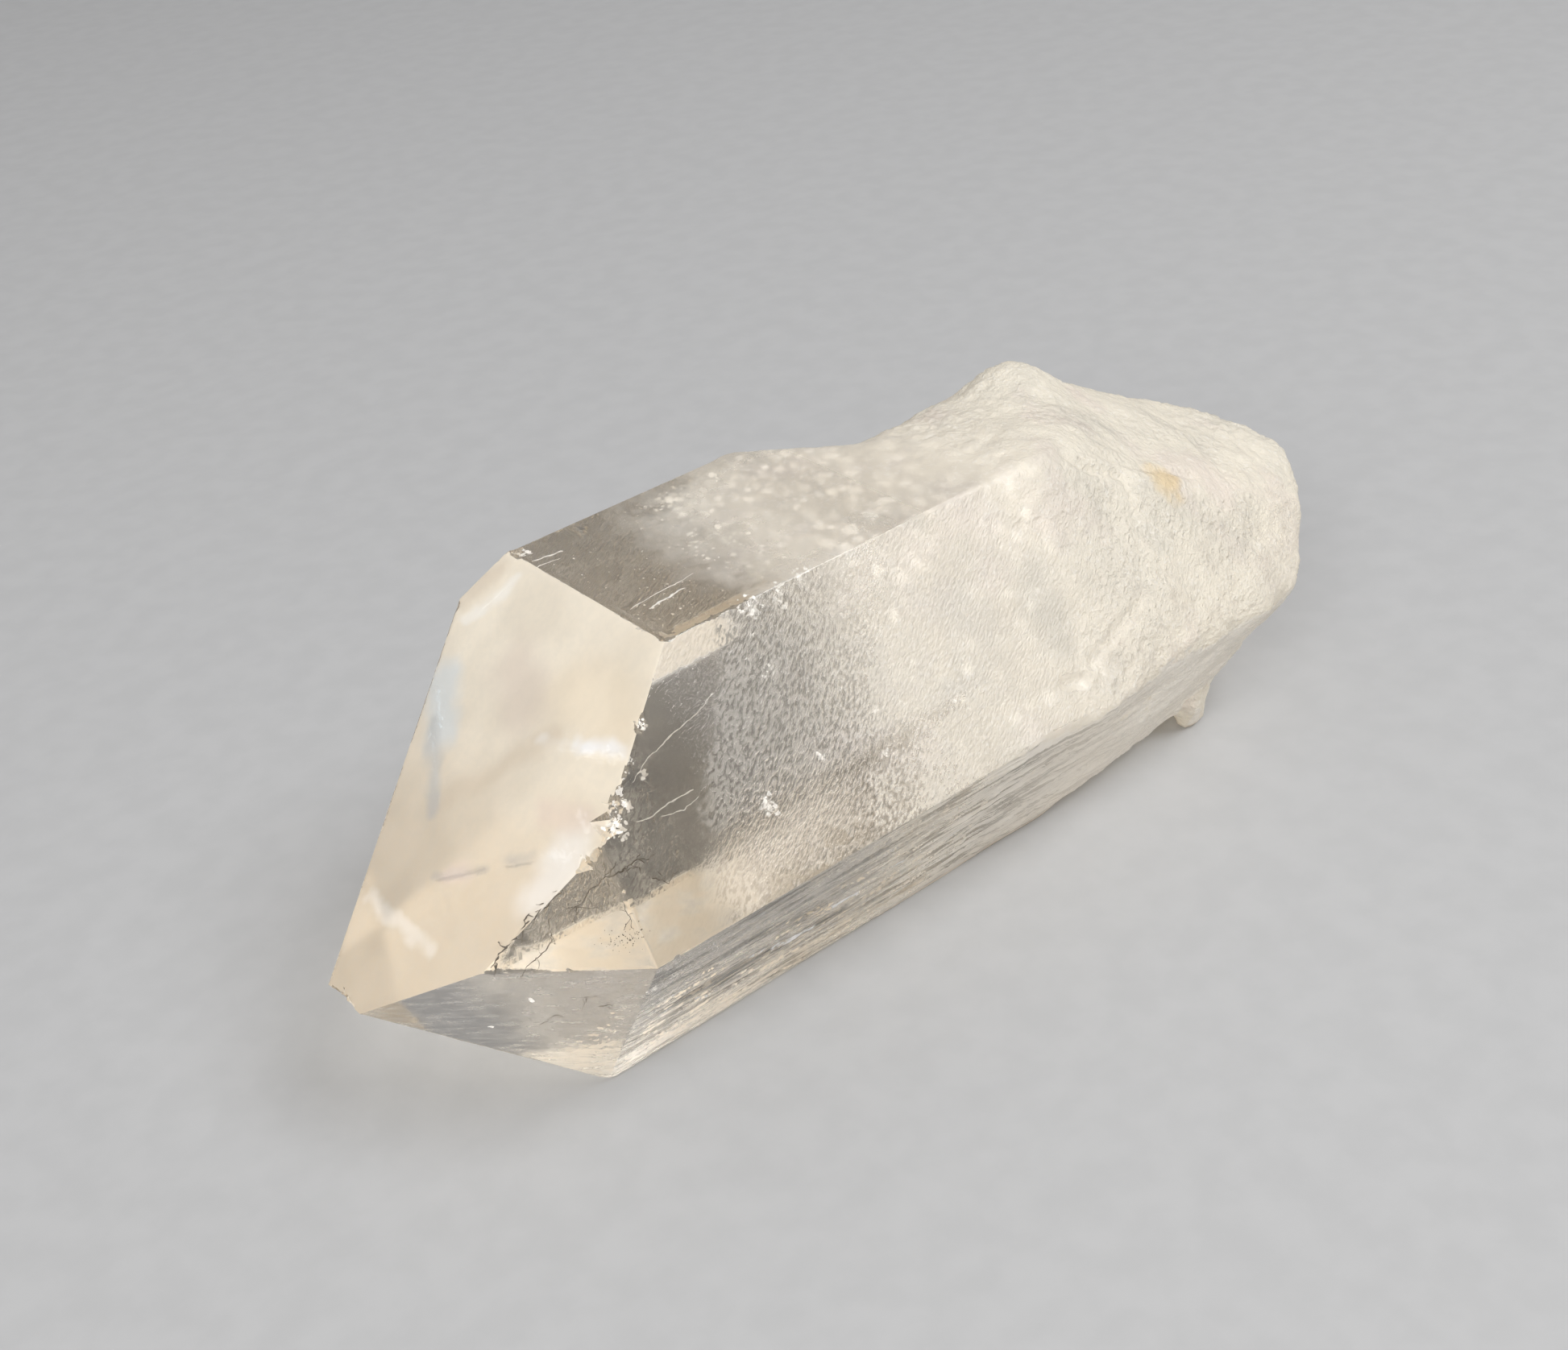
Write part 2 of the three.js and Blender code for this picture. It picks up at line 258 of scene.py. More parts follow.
DARK_CRACKS = (
    # half width and path of the dark cracks between the near face and the tip
    (
        0.05,
        ((34.4, 9.6, 14.3), (33.5, 9.9, 15.3), (32.1, 10.4, 16.4), (30.8, 10.9, 17.5), (29.8, 11.4, 18.3)),
    ),
    (
        0.035,
        ((30.1, 12.1, 16.6), (29.5, 12.2, 17.5), (28.9, 12.3, 18.2), (27.7, 12.8, 18.9), (26, 13.1, 18.7)),
    ),
    (0.04, ((27.9, 12.7, 18.8), (26.9, 12.9, 18.9), (26, 13, 18.9), (24.9, 13.1, 18.8))),
    (0.03, ((33, 10.9, 14.2), (32.1, 11.4, 14.9), (31.4, 11.6, 15.6), (31, 11.2, 16.9))),
    (0.025, ((27.7, 13.7, 17.4), (27.7, 14.2, 16.7), (27.7, 14.6, 16))),
    (0.03, ((30.5, 11.2, 17.4), (29.9, 11.9, 17.3), (29.4, 12.3, 17.2), (28.7, 12.9, 17.1))),
    (0.03, ((25.6, 13.5, 17.8), (24.6, 13.8, 17.2), (23.9, 13.8, 17.3))),
    (0.03, ((30.8, 11.3, 10.9), (30.1, 12, 11), (29.4, 12.6, 11))),
    (0.025, ((29.6, 12.3, 10.2), (28.9, 12.9, 10.1))),
    (0.022, ((31.9, 10.2, 9.4), (31, 10.8, 9.3))),
)
WHITE_WISPS = (
    # from, to, spread, count and flake radius of thin films under the large tip face
    ((24.3, 6.6, 22.4), (23.6, 9.6, 22.9), 0.35, 420, 0.08),
    ((25.2, 3.6, 21.6), (24.4, 6.2, 22.3), 0.28, 90, 0.05),
    ((28.9, 8.6, 18.6), (28.2, 10.2, 18.8), 0.5, 200, 0.07),
    ((26.4, 8.8, 20.4), (26.9, 10.4, 19.7), 0.3, 90, 0.08),
    ((32.4, 2, 15.8), (31.6, 4.2, 16.4), 0.35, 90, 0.05),
)
LOWER_WISPS = (
    # bright silky threads under the fluted lower face
    ((18.8, 10.6, 4.2), (12.4, 10.9, 4.6), 0.14, 260, 0.05),
    ((21.8, 11.2, 5.6), (16, 11.3, 5.4), 0.1, 160, 0.045),
    ((24.5, 12.6, 7.6), (15, 12.7, 7.7), 0.12, 220, 0.045),
    ((14, 13.1, 8.6), (3, 13.4, 8.9), 0.14, 220, 0.05),
    ((12, 11.7, 6.2), (2, 12, 6.4), 0.14, 220, 0.05),
    ((26, 10.4, 3.4), (19, 10, 3), 0.1, 160, 0.045),
    ((7, 10.3, 3.4), (-4, 10.6, 3.6), 0.16, 200, 0.05),
)
BLUE_WISPS = (
    # bluish films along the far edge of the large tip face
    ((25.9, -7, 21.6), (27.4, -4.9, 20.3), 0.5, 240, 0.05),
    ((27.6, -5.6, 20.1), (30.2, -1.2, 17.9), 0.45, 220, 0.045),
)
GREY_WISPS = (
    # dark smudges in the tip
    ((32.9, 2, 15.5), (31.2, 4.9, 16.9), 0.2, 170, 0.07),
    ((30.4, 6.4, 17.4), (29.6, 7.9, 18.1), 0.2, 90, 0.06),
    ((33.9, -1.4, 14.7), (33.2, 0, 15.3), 0.12, 26, 0.05),
    ((20.5, -2.9, 26.3), (21.5, -1.6, 25.3), 0.2, 30, 0.05),
    ((29, 13.6, 15.2), (27.4, 14.7, 15.4), 0.8, 110, 0.045),
)

# ---- quartz material ----
NOISES = {
    # size in mm, detail, then roughness if not 0.5, and distortion
    "broad": (7, 3),
    "middle": (2.2, 4, 0.6, 0.4),
    "fine": (0.5, 3),
    "strokes": (1, 3, 0.6),
    "streaks": (0.55, 4, 0.68),
    "veil": (4.5, 5, 0.65, 1.2),
    "threads": (0.34, 2),
    "rest": (3.2, 4, 0.55),
    "blotch": (4, 1),
    "mottle": (1, 4, 0.65),
    "grey": (2.8, 4, 0.6),
    "rosy": (5.5, 3),
    "specks": (0.3, 2),
    "hammered": (5, 2),
    "grain": (0.3, 4, 0.6),
    "floor": (3, 5),
    "flake_tint": (1.5, 2),
    "flake_gloss": (0.4, 2),
}
PLAIN_NOISE = (0.5, 0)  # roughness and distortion of a noise that gives none
MILK_RISE = (10, 27)  # heights between which the start of the milk moves
MILK_START = (6.5, 12.5)  # x of the start at these heights
STEPS = {
    # where a smooth step begins and ends, in mm or in a noise's 0 to 1, then its amounts if not 0 and 1
    "facing": (0.93, 0.98),  # cosine between the surface and a face
    "milk_start": (*MILK_RISE, *MILK_START),
    "far_later": (-3, -9, 0, 7),
    "milk": (6, -6, 0, 0.72),
    "milk_end": (15, 10.5),
    "top_thinner": (-8, 2, 0, -0.3),
    "deep": (0, -15, 0, 0.72),
    "deep_z": (19.5, 16.5, 0, -8),
    "deep_end": (13, 7),
    "root_milk": (-4, -18, 0, 0.28),
    "frost_first": (0.6, -1, 0, 0.3),
    "frost_second": (-3.5, -19, 0, 0.42),
    "frost_above": (16.8, 19.2),
    "low_frost": (0.46, 0.58, 0, 0.34),
    "low_frost_z": (18.2, 15.8),
    "low_frost_x": (24, 20),
    "glow": (3.4, 0.2, 0, 0.3),
    "veil": (0.5, 0.75, 0, 0.3),
    "veil_x": (15, 7),
    "threads": (0.56, 0.66, 0, 0.9),
    "rest_z": (0.6, 0.2),  # frost where the crystal rests
    "rest_x": (32, 27),
    "rest_patchy": (0.3, 0.6, 0.6, 1),
    "far_low": (5.4, 3.8, 0, 0.95),
    "far_front": (17, 19.5, 0, 0.95),
    "haze": (0.3, 0.7, 0.56, 0.66),
    "haze_x": (34, 20, 1, 1.15),
    "film": (0.42, 0.68, 0.18, 0.62),
    "corner_z": (26.35, 26.75, 0, 0.8),
    "corner_x": (12, 15.5),
    "rough_tip": (0, 1, 0.45, 0.3),
    "root_x": (-2, -16),
    "body_x": (2, -16),
    "grey": (0.45, 0.7, 0, 0.4),
    "grey_broad": (0.5, 0.7, 0, 0.35),
    "rosy": (0.5, 0.75, 0, 0.6),
    "lower_painted_light": (12, -4, 0, 0.95),
    "specks": (0.54, 0.68, 0, 0.55),
    "specks_middle": (0.35, 0.6),
    "partly_from": (0.04, 0.2),  # dark strokes only where the milk is partial
    "partly_to": (0.72, 0.5),
    "stroke_x": (2, 12),
    "stroke": (0.44, 0.6),
    "fine_stroke": (0.46, 0.62, 0, 0.13),
    "fine_stroke_x": (-10, 4),
    "streak": (0.49, 0.58),
    "streak_x": (-18, 6, 0.1, 1),
    "tip_end": (24, 34),
    "tip_grey": (0.35, 0.65, 0, 0.12),
    "stain": (2, 0.6, 0, 0.65),
    "hammered": (0.15, 0.4),
    "hammered_x": (24, 15),
    "sugary": (0.4, 0.65),
    "sugary_x": (-3, -12),
    "lamps_x": (14, 4),
    "mottled": (0.3, 0.7),
}
WEIGHTS = {
    # how far each noise moves the edge of a mask, in mm
    "milk_broad": 12,
    "milk_middle": 14,
    "milk_fine": 6,
    "milk_strokes": 14,
    "milk_streaks": 44,
    "window_middle": 4,
    "window_strokes": 3,
    "stain_middle": 2.5,
}
NEAR_LATER = 1.5  # the near face clouds over this much nearer the tip
GUARD = (4, -4, -2)  # the milk's end: sway, shift on the near face and everywhere
WINDOW_SLANT = (0.69, -34.4)  # the near face's window ends where x plus this share of z is this far
REST_SWAY = 3
CORNER_SWAY = 0.3
CLEARER = (-0.62, -0.25, -0.42)  # what cloud, frost and haze take from the transmission
POLISH = 0.02  # roughness of the clear faces
ROOT_ROUGH = 0.2
DARK_STROKE = (0.8, -1.4)  # strength of the painted-shade dark strokes, and what the glow takes away
GLOW_COLOUR = 2.4
WINDOW_SHADE = (0.62, 0.34)  # painted shade in the clear part of the near and the top face
SHADE_LEFT = -1.6  # what cloud and glow take away of it
TIP_FILM = 0.9
BUMPS = {"strokes": 0.16, "grain": 0.2, "sugar": 0.16, "streaks": 0.26}  # heights in mm
SUGAR_SIZE = 0.6
BEND = (2.5, 1.8)  # size and reach of the noise that bends the patches
STROKE_AXES = ((0.76, 0.32, -0.56), (0.65, -0.38, 0.66), (0, 0.87, 0.5))
STROKE_SIZES = (0.42, 0.2, 0.42)
STREAK_SIZES = (15, 1, 1)
THREAD_SIZES = (14, 1, 1)
UNDER_TIP = (0.62, 0.68, -0.39)  # outward normal of the tip face that looks down at the near side
UNDER_AXES = ((0.74, -0.67, 0), (-0.26, -0.29, -0.92), UNDER_TIP)
UNDER_SIZES = (2.2, 0.5, 0.5)
GLOW = ((20.4, 15, 15.8), (13.5, 14.5, 16.7))  # painted glow: a cream patch of painted light low on the near face
STAIN_AT = (-22.2, 9.3, 22.6)
CLEAR_TINT = (0.95, 0.942, 0.925)
MILK_TINT = (0.8, 0.745, 0.63)
ROOT_TINT = (0.9, 0.855, 0.75)
GREY_TINT = (0.64, 0.62, 0.56)
# white of the specks, and of the painted light on the lower face
SPECK_AND_PAINTED_LIGHT_TINT = (0.97, 0.95, 0.9)
# colour of the painted shade in the clear windows and in the dark strokes and streaks
SHADE_TINT = (0.22, 0.21, 0.19)
TIP_TINT = (0.93, 0.84, 0.69)
TIP_END_TINT = (0.74, 0.62, 0.47)
FROST_TINT = (0.75, 0.67, 0.56)
GLOW_TINT = (0.98, 0.86, 0.68)
GLINT_TINT = (0.95, 0.97, 1)
CORNER_TINT = (0.86, 0.73, 0.55)
ROSY_TINT = (0.86, 0.77, 0.71)
STAIN_TINT = (0.8, 0.6, 0.3)
QUARTZ_IOR = 1.544
ABSORB_TINT = (0.9, 0.84, 0.74)
ABSORB_DENSITY = 14
CLEAR_PASS = (0.64, 0.63, 0.61)  # share of a lamp's light that each face lets through
MILKY_PASS = (0.38, 0.36, 0.33)
TIP_PATCHES = (
    # soft patches in the film on the large tip face: from, to, full within, gone beyond, tint, strength
    ((22.6, -8.2, 24.8), (19.9, -6.2, 27.1), 0.1, 0.7, (0.98, 0.95, 0.88), 0.7),
    ((21.9, -9.3, 25.3), (19.7, -8, 27.2), 0.2, 1.1, (0.66, 0.55, 0.42), 0.5),
    ((23.3, -1.8, 24.1), (24.3, 0.6, 23.3), 0.4, 3.4, (0.7, 0.59, 0.5), 0.6),
    ((22.6, 4.2, 24.7), (22.6, 7.2, 24.7), 0.8, 4, (0.92, 0.77, 0.56), 0.5),
    ((30.4, -1.4, 18), (24.9, 4, 22.7), 0.1, 1.2, (0.72, 0.6, 0.46), 0.55),
    ((25.7, -6.9, 22.1), (27.4, -4.6, 20.6), 0.5, 2.2, (0.7, 0.78, 0.83), 0.7),
    ((27.6, -5.4, 20.4), (30.6, -1.5, 17.8), 0.1, 1, (0.52, 0.54, 0.55), 0.6),
    ((30.9, 9.8, 17.6), (28.5, 10.3, 19.7), 0.3, 2.2, (1, 0.98, 0.95), 0.7),
    # painted glint: white streaks over the first two white wisps
    ((24.2, 6.4, 22.8), (23.5, 9.9, 23.4), 0.15, 0.9, (1, 1, 1), 0.95),
    ((25.1, 3.4, 22), (24.3, 6.6, 22.7), 0.05, 0.6, (1, 0.98, 0.94), 0.6),
    ((35.6, -2.2, 13.5), (35.4, 4.9, 13.7), 0.1, 0.7, (1, 0.97, 0.92), 0.5),
    ((33, 1.8, 15.8), (31.2, 5, 17.3), 0, 0.6, (0.45, 0.43, 0.41), 0.55),
    ((30.5, 6.3, 17.9), (29.7, 8, 18.6), 0, 0.7, (0.5, 0.48, 0.46), 0.45),
    ((32.4, 2.8, 16.3), (31.9, 3.8, 16.7), 0.1, 1.2, (0.85, 0.68, 0.6), 0.5),
    ((27.8, 7, 20.3), (27.2, 9.8, 20.8), 0.2, 1.6, (0.8, 0.64, 0.56), 0.5),
)
BODY_PATCHES = (
    # greyer and lighter patches in the milky part
    ((-7, 11.7, 21.8), (-7.2, 13.1, 19.2), 0.3, 2.8, (0.52, 0.51, 0.46), 0.6),
    ((-0.8, 10.9, 22.9), (-2.6, 12.1, 20.8), 0.3, 2.2, (0.58, 0.56, 0.51), 0.45),
    ((1.7, 5.6, 28), (0.2, 7.2, 28), 0.3, 1.7, (0.5, 0.49, 0.45), 0.6),
    # painted highlight along the edge between the top and the near face
    ((12.6, 7.4, 27.9), (5, 8, 27.8), 0.2, 1.3, (0.99, 0.97, 0.92), 0.7),
    ((12.2, 7.2, 28), (-6, 6.8, 28), 0, 2.6, (0.5, 0.47, 0.42), 0.3),
    ((14.8, 5.6, 28), (8.5, 3, 28), 0.3, 2.6, (0.6, 0.54, 0.5), 0.4),
)
LOWER_SHADE_AND_TAN_BANDS = (
    # painted shade in dark bands along the fluted lower face, and a tan band
    ((24, 11.9, 6.9), (11, 11.4, 5.9), 0.2, 1.1, (0.07, 0.066, 0.058), 0.9),
    ((17, 13, 8.4), (9.5, 13.3, 8.8), 0.05, 0.8, (0.22, 0.21, 0.19), 0.6),
    ((27, 13.9, 9.6), (18, 14.3, 10.4), 0.05, 0.7, (0.26, 0.25, 0.22), 0.5),
    ((12, 9.6, 1.9), (2, 9.8, 2.2), 0.1, 0.7, (0.42, 0.34, 0.24), 0.6),
)
GLINTS = (
    # painted highlights: short bright flashes on the lower face: from, to and half width
    ((16.4, 11.7, 6.2), (13.2, 11.5, 5.9), 0.26),
    ((19.6, 12.2, 7.1), (17.2, 12, 6.8), 0.15),
    ((22.4, 11.3, 5.4), (20.2, 11.1, 5), 0.13),
    ((12.3, 12.4, 7.3), (10, 12.4, 7.2), 0.15),
    ((25.4, 12.9, 8.6), (23.4, 12.8, 8.4), 0.12),
    ((8, 13, 8.3), (5.8, 13, 8.3), 0.16),
    ((3.4, 12.3, 7.2), (1.2, 12.3, 7.2), 0.16),
)


# ---- crystal ----


def mm(v):
    return Vector(v) * MM


def linked(name, data):
    """A new object with this data, in the scene."""
    made = bpy.data.objects.new(name, data)
    bpy.context.scene.collection.objects.link(made)
    return made


def ramp(a, b, x):
    t = min(1.0, max(0.0, (x - a) / (b - a)))
    return t * t * (3 - 2 * t)


def fractal(p, size, octaves=3):
    """Noise from about -1 to 1 with features of the given size in mm."""
    return noise.fractal(p / size, 1.0, 2.0, octaves, noise_basis="PERLIN_ORIGINAL")


class EdgeLines:
    """Points along the crystal's edges, each with the direction that a chamfer there would face."""

    def __init__(self, bm):
        self.points = []
        self.facing = []
        for edge in bm.edges:
            if len(edge.link_faces) != 2 or edge.calc_face_angle() < FEATURE_ANGLE:
                continue
            if max(face.calc_area() for face in edge.link_faces) < FEATURE_AREA:
                continue
            facing = (edge.link_faces[0].normal + edge.link_faces[1].normal).normalized()
            a, b = edge.verts[0].co, edge.verts[1].co
            steps = max(1, math.ceil((b - a).length / EDGE_SAMPLE))
            for i in range(steps):
                self.points.append(a.lerp(b, (i + 0.5) / steps))
                self.facing.append(facing)
        self.tree = kdtree.KDTree(len(self.points))
        for i, point in enumerate(self.points):
            self.tree.insert(point, i)
        self.tree.balance()

    def nearest(self, point):
        _, i, distance = self.tree.find(point)
        return self.points[i], self.facing[i], distance


def wanted_length(point, lines):
    """Edge length that the mesh needs at a point, in mm."""
    distance = lines.nearest(point)[2]
    if distance < EDGE_ZONE and point.x > WORN_TO:
        return FINE
    if point.x < WORN_FROM:
        return WORN
    if point.y > FLUTED_BOX[0] and point.z < FLUTED_BOX[1]:
        return FLUTED
    return PLAIN


def refine(bm, lines):
    """Split the edges that are too long for their place, in rounds of ever smaller sizes."""
    for size in SPLITS:
        long_edges = []
        for edge in bm.edges:
            if edge.calc_length() < size * SPLIT_SLACK:
                continue
            middle = (edge.verts[0].co + edge.verts[1].co) / 2
            if wanted_length(middle, lines) <= size * SPLIT_SLACK:
                long_edges.append(edge)
        bmesh.ops.subdivide_edges(bm, edges=long_edges, cuts=1)
        bmesh.ops.triangulate(bm, faces=[f for f in bm.faces if len(f.verts) > 3])
        flat = [
            e for e in bm.edges
            if len(e.link_faces) == 2 and e.calc_face_angle() < COPLANAR_ANGLE
        ]
        bmesh.ops.beautify_fill(bm, faces=bm.faces[:], edges=flat)


def worn(point):
    """Share of the root's wear at a point: zero on the clean prism, one on the broken end."""
    return ramp(WORN_FROM, WORN_TO, point.x) * ramp(*REST_BAND, point.z)


def fluted(point):
    """How much the part that carries flutes is smoothed first."""
    low, high = SMOOTH_FLUTES_Z
    return SMOOTH_FLUTES if point.y > FLUTED_BOX[0] and low < point.z < high else 0.0


def smooth_root(bm, lines):
    """Round the facets of the worn root and of the fluted part."""
    weight = {}
    for vert in bm.verts:
        w = max(worn(vert.co), fluted(vert.co))
        if lines.nearest(vert.co)[2] < SMOOTH_EDGE:
            w *= ramp(*SMOOTH_EDGE_X, vert.co.x)
        if w > SMOOTH_LEAST:
            weight[vert] = w * SMOOTH_SHARE
    for _ in range(SMOOTH_ROUNDS):
        moved = {}
        for vert, w in weight.items():
            around = [edge.other_vert(vert).co for edge in vert.link_edges]
            moved[vert] = vert.co.lerp(sum(around, Vector()) / len(around), w)
        for vert, place in moved.items():
            vert.co = place


def along_path(point, path):
    """Shortest distance from a point to a path."""
    best = math.inf
    for a, b in zip(path, path[1:]):
        a, b = Vector(a), Vector(b)
        t = min(1, max(0, (point - a).dot(b - a) / (b - a).length_squared))
        best = min(best, (point - a.lerp(b, t)).length)
    return best


def wear_edges(bm, lines):
    """Press a thin uneven chamfer into every crystal edge, deeper at the chips and facets."""
    sway, sway_size = WEAR_SWAY
    chip, size, threshold = CHIPPED
    least, uneven, grain = CHIP_GRAIN
    for vert in bm.verts:
        at, facing, distance = lines.nearest(vert.co)
        if distance > WEAR_REACH:
            continue
        depth = EDGE_WEAR * (1 + sway * fractal(at, sway_size))
        depth += chip * max(0.0, fractal(at + CHIP_SHIFT, size, 4) - threshold)
        for place, radius, deep in CHIP_SPOTS:
            away = (at - Vector(place)).length / radius
            if away < 1:
                rough = least + uneven * fractal(vert.co, grain)
                depth += deep * (1 - away * away) * rough
        for start, end, deep in EDGE_FACETS:
            depth = max(depth, deep * ramp(*FACET_FADE, along_path(at, (start, end))))
        below = (at - vert.co).dot(facing)
        if below < depth:
            vert.co -= facing * (depth - below)


def lower_face(p):
    """One on the fluted prism face that looks down at the near side, zero away from it."""
    return ramp(*LOWER_Y, p.y) * ramp(*LOWER_TOP, p.z) * ramp(*LOWER_FOOT, p.z) * ramp(*LOWER_BACK, p.x)


def groove(point, depth, width, path):
    """Depth of one groove or step at a point."""
    return depth * math.exp(-((along_path(point, path) / width) ** 2))


def root_relief(p, w):
    """Height of the broken root's lumps and pits above a point that is worn by the share w."""
    up, back = RELIEF_TOP
    top = ramp(*up, p.z) * ramp(*back, p.x)
    top_share, ridge_share = RIM_SHARES
    ridge = ridge_share * ramp(*RIDGE_REACH, along_path(p, SCALY_RIDGE))
    rim = max(ramp(*RELIEF_RIM, p.x), top_share * top, ridge)
    height, size = LUMPS
    h = height * fractal(p, size, 3)
    height, at_rim, size = PITS
    h += (height + at_rim * rim) * fractal(p + PITS_SHIFT, size, 3)
    height, stretch, size = TOP_RIPPLE
    h += height * top * fractal(Vector((p.x / stretch, p.y, p.z)), size, 3)
    for depth, width, path in GROOVES:
        h -= groove(p, depth, width, path) / w
    return h


def flute_relief(p, distance):
    """Height of the lengthwise flutes of the lower face."""
    height, stretch, size = FLUTES
    fine_height, finer, fine_size = FINE_FLUTES
    across = Vector((p.x / stretch, p.y, p.z))
    fade = lower_face(p) * ramp(*FLUTE_EDGE, distance) * ramp(*FLUTE_END, p.x)
    coarse = height * abs(fractal(across, size, 3))
    return fade * (coarse + fine_height * fractal(across * finer, fine_size, 2))


def relief(bm, lines):
    """Raise and sink the surface along its normals where the photo shows it uneven."""
    bm.normal_update()
    moved = {}
    for vert in bm.verts:
        p = vert.co
        w = worn(p)
        h = 0.0
        if w > 0:
            h = root_relief(p, w)
        elif p.z > GROWTH_STEP_Z and GROWTH_STEP_X[0] < p.x < GROWTH_STEP_X[1]:
            for depth, width, path in GROWTH_STEPS:
                h -= groove(p, depth, width, path)
            w = 1.0
        if lower_face(p) > 0 and lines.nearest(p)[2] > FLUTE_EDGE[0]:
            h += flute_relief(p, lines.nearest(p)[2])
            w = max(w, 1.0)
        if h:
            moved[vert] = p + vert.normal * h * w
    for vert, place in moved.items():
        vert.co = place


def crystal_piece(node):
    """A finer copy of the node's solid, with worn edges and relief."""
    bm = bmesh.new()
    bm.from_mesh(node.data)
    bmesh.ops.scale(bm, vec=(1 / MM,) * 3, verts=bm.verts)
    bmesh.ops.remove_doubles(bm, verts=bm.verts, dist=WELD)
    bmesh.ops.dissolve_limit(bm, angle_limit=FLAT_ANGLE, verts=bm.verts, edges=bm.edges)
    bm.normal_update()
    lines = EdgeLines(bm)
    bmesh.ops.triangulate(bm, faces=bm.faces)
    refine(bm, lines)
    smooth_root(bm, lines)
    relief(bm, lines)
    wear_edges(bm, lines)
    bmesh.ops.dissolve_degenerate(bm, dist=SLIVER, edges=bm.edges)
    bmesh.ops.triangulate(bm, faces=[f for f in bm.faces if len(f.verts) > 3])
    bmesh.ops.recalc_face_normals(bm, faces=bm.faces)
    for face in bm.faces:
        face.smooth = True
    for edge in bm.edges:
        sharp = len(edge.link_faces) == 2 and edge.calc_face_angle() > SHARP_ANGLE
        edge.smooth = not (sharp and edge.verts[0].co.x > WORN_TO / 2)
    bmesh.ops.scale(bm, vec=(MM,) * 3, verts=bm.verts)
    mesh = bpy.data.meshes.new("crystal")
    bm.to_mesh(mesh)
    bm.free()
    return linked("crystal", mesh)


# ---- pieces inside the crystal ----


def flake(rng, centre, radius, thickness, normal):
    """A thin closed plate with an uneven rim: points and triangles."""
    sides = rng.randint(*FLAKE_SIDES)
    turn = normal.to_track_quat("Z", "Y")
    start = rng.uniform(0, math.tau)
    points = []
    for i in range(sides):
        angle = start + math.tau * i / sides
        reach = radius * rng.uniform(*FLAKE_RIM)
        points.append(centre + turn @ Vector((math.cos(angle) * reach, math.sin(angle) * reach, 0)))
    points.append(centre + normal * thickness / 2)
    points.append(centre - normal * thickness / 2)
    faces = []
    for i in range(sides):
        j = (i + 1) % sides
        faces.append((i, j, sides))
        faces.append((j, i, sides + 1))
    return points, faces


def mesh_piece(name, solids, material):
    """One piece made of many small closed solids, each given as points in mm and faces."""
    points, faces = [], []
    for solid_points, solid_faces in solids:
        base = len(points)
        points.extend(mm(p) for p in solid_points)
        faces.extend(tuple(base + i for i in face) for face in solid_faces)
    mesh = bpy.data.meshes.new(name)
    mesh.from_pydata(points, [], faces)
    mesh.materials.append(material)
    piece = linked(name, mesh)
    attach(piece, BODY)
    return piece


def depth_below(tree, point):
    """How far a point in mm lies inside the crystal's surface; negative outside."""
    at, normal, _, distance = tree.find_nearest(mm(point))
    side = 1 if (at - mm(point)).dot(normal) > 0 else -1
    return side * distance / MM


def tube(path, radius, ragged=1.0):
    """A thin closed tube along a path that wanders on its way."""
    points, faces, fine = [], [], []
    least, uneven, size, bulge = TUBE_SWELL
    knots = [Vector(p) for p in path]
    for a, b in zip(knots, knots[1:]):
        steps = max(2, math.ceil((b - a).length / TUBE_STEP))
        for i in range(steps):
            fine.append(a.lerp(b, i / steps))
    fine.append(knots[-1])
    count = len(fine)
    for i, point in enumerate(fine):
        ahead = (fine[min(i + 1, count - 1)] - fine[max(i - 1, 0)]).normalized()
        side = ahead.cross(TUBE_SIDEWAYS).normalized()
        up = side.cross(ahead)
        wander = Vector()
        for wide, far in TUBE_WANDER:
            wander += noise.noise_vector(point / wide) * far
        middle = math.sin(math.pi * i / (count - 1))
        swell = least + uneven * abs(noise.noise(point / size)) + bulge * middle
        thick = radius * swell
        for step in range(TUBE_SIDES):
            angle = math.tau * step / TUBE_SIDES
            reach = side * math.cos(angle) + up * math.sin(angle)
            points.append(point + wander * ragged + reach * thick)
    for i in range(count - 1):
        for step in range(TUBE_SIDES):
            a = TUBE_SIDES * i + step
            b = TUBE_SIDES * i + (step + 1) % TUBE_SIDES
            faces.append((a, b, b + TUBE_SIDES, a + TUBE_SIDES))
    faces.append(tuple(reversed(range(TUBE_SIDES))))
    faces.append(tuple(range(TUBE_SIDES * (count - 1), TUBE_SIDES * count)))
    return points, faces


def fracture_piece(tree, material):
    """Small bright fractures under the faces, as clusters of plates."""
    rng = random.Random(SEEDS["bright_fractures"])
    move_in, leave_out = CRACK_GAP
    solids = []
    for place, spread, count in BRIGHT_FRACTURES:
        for _ in range(count):
            away = random_normal(rng) * spread * rng.random() ** CRACK_SPREAD
            point = Vector(place) + away
            if depth_below(tree, point) < move_in:
                point -= away / 2
            if depth_below(tree, point) < leave_out:
                continue
            radius = rng.uniform(*CRACK_PLATE)
            normal = (CRACK_FACING + random_normal(rng) * CRACK_TILT).normalized()
            solids.append(flake(rng, point, radius, CRACK_THICK, normal))
    return mesh_piece("bright_fractures", solids, material)


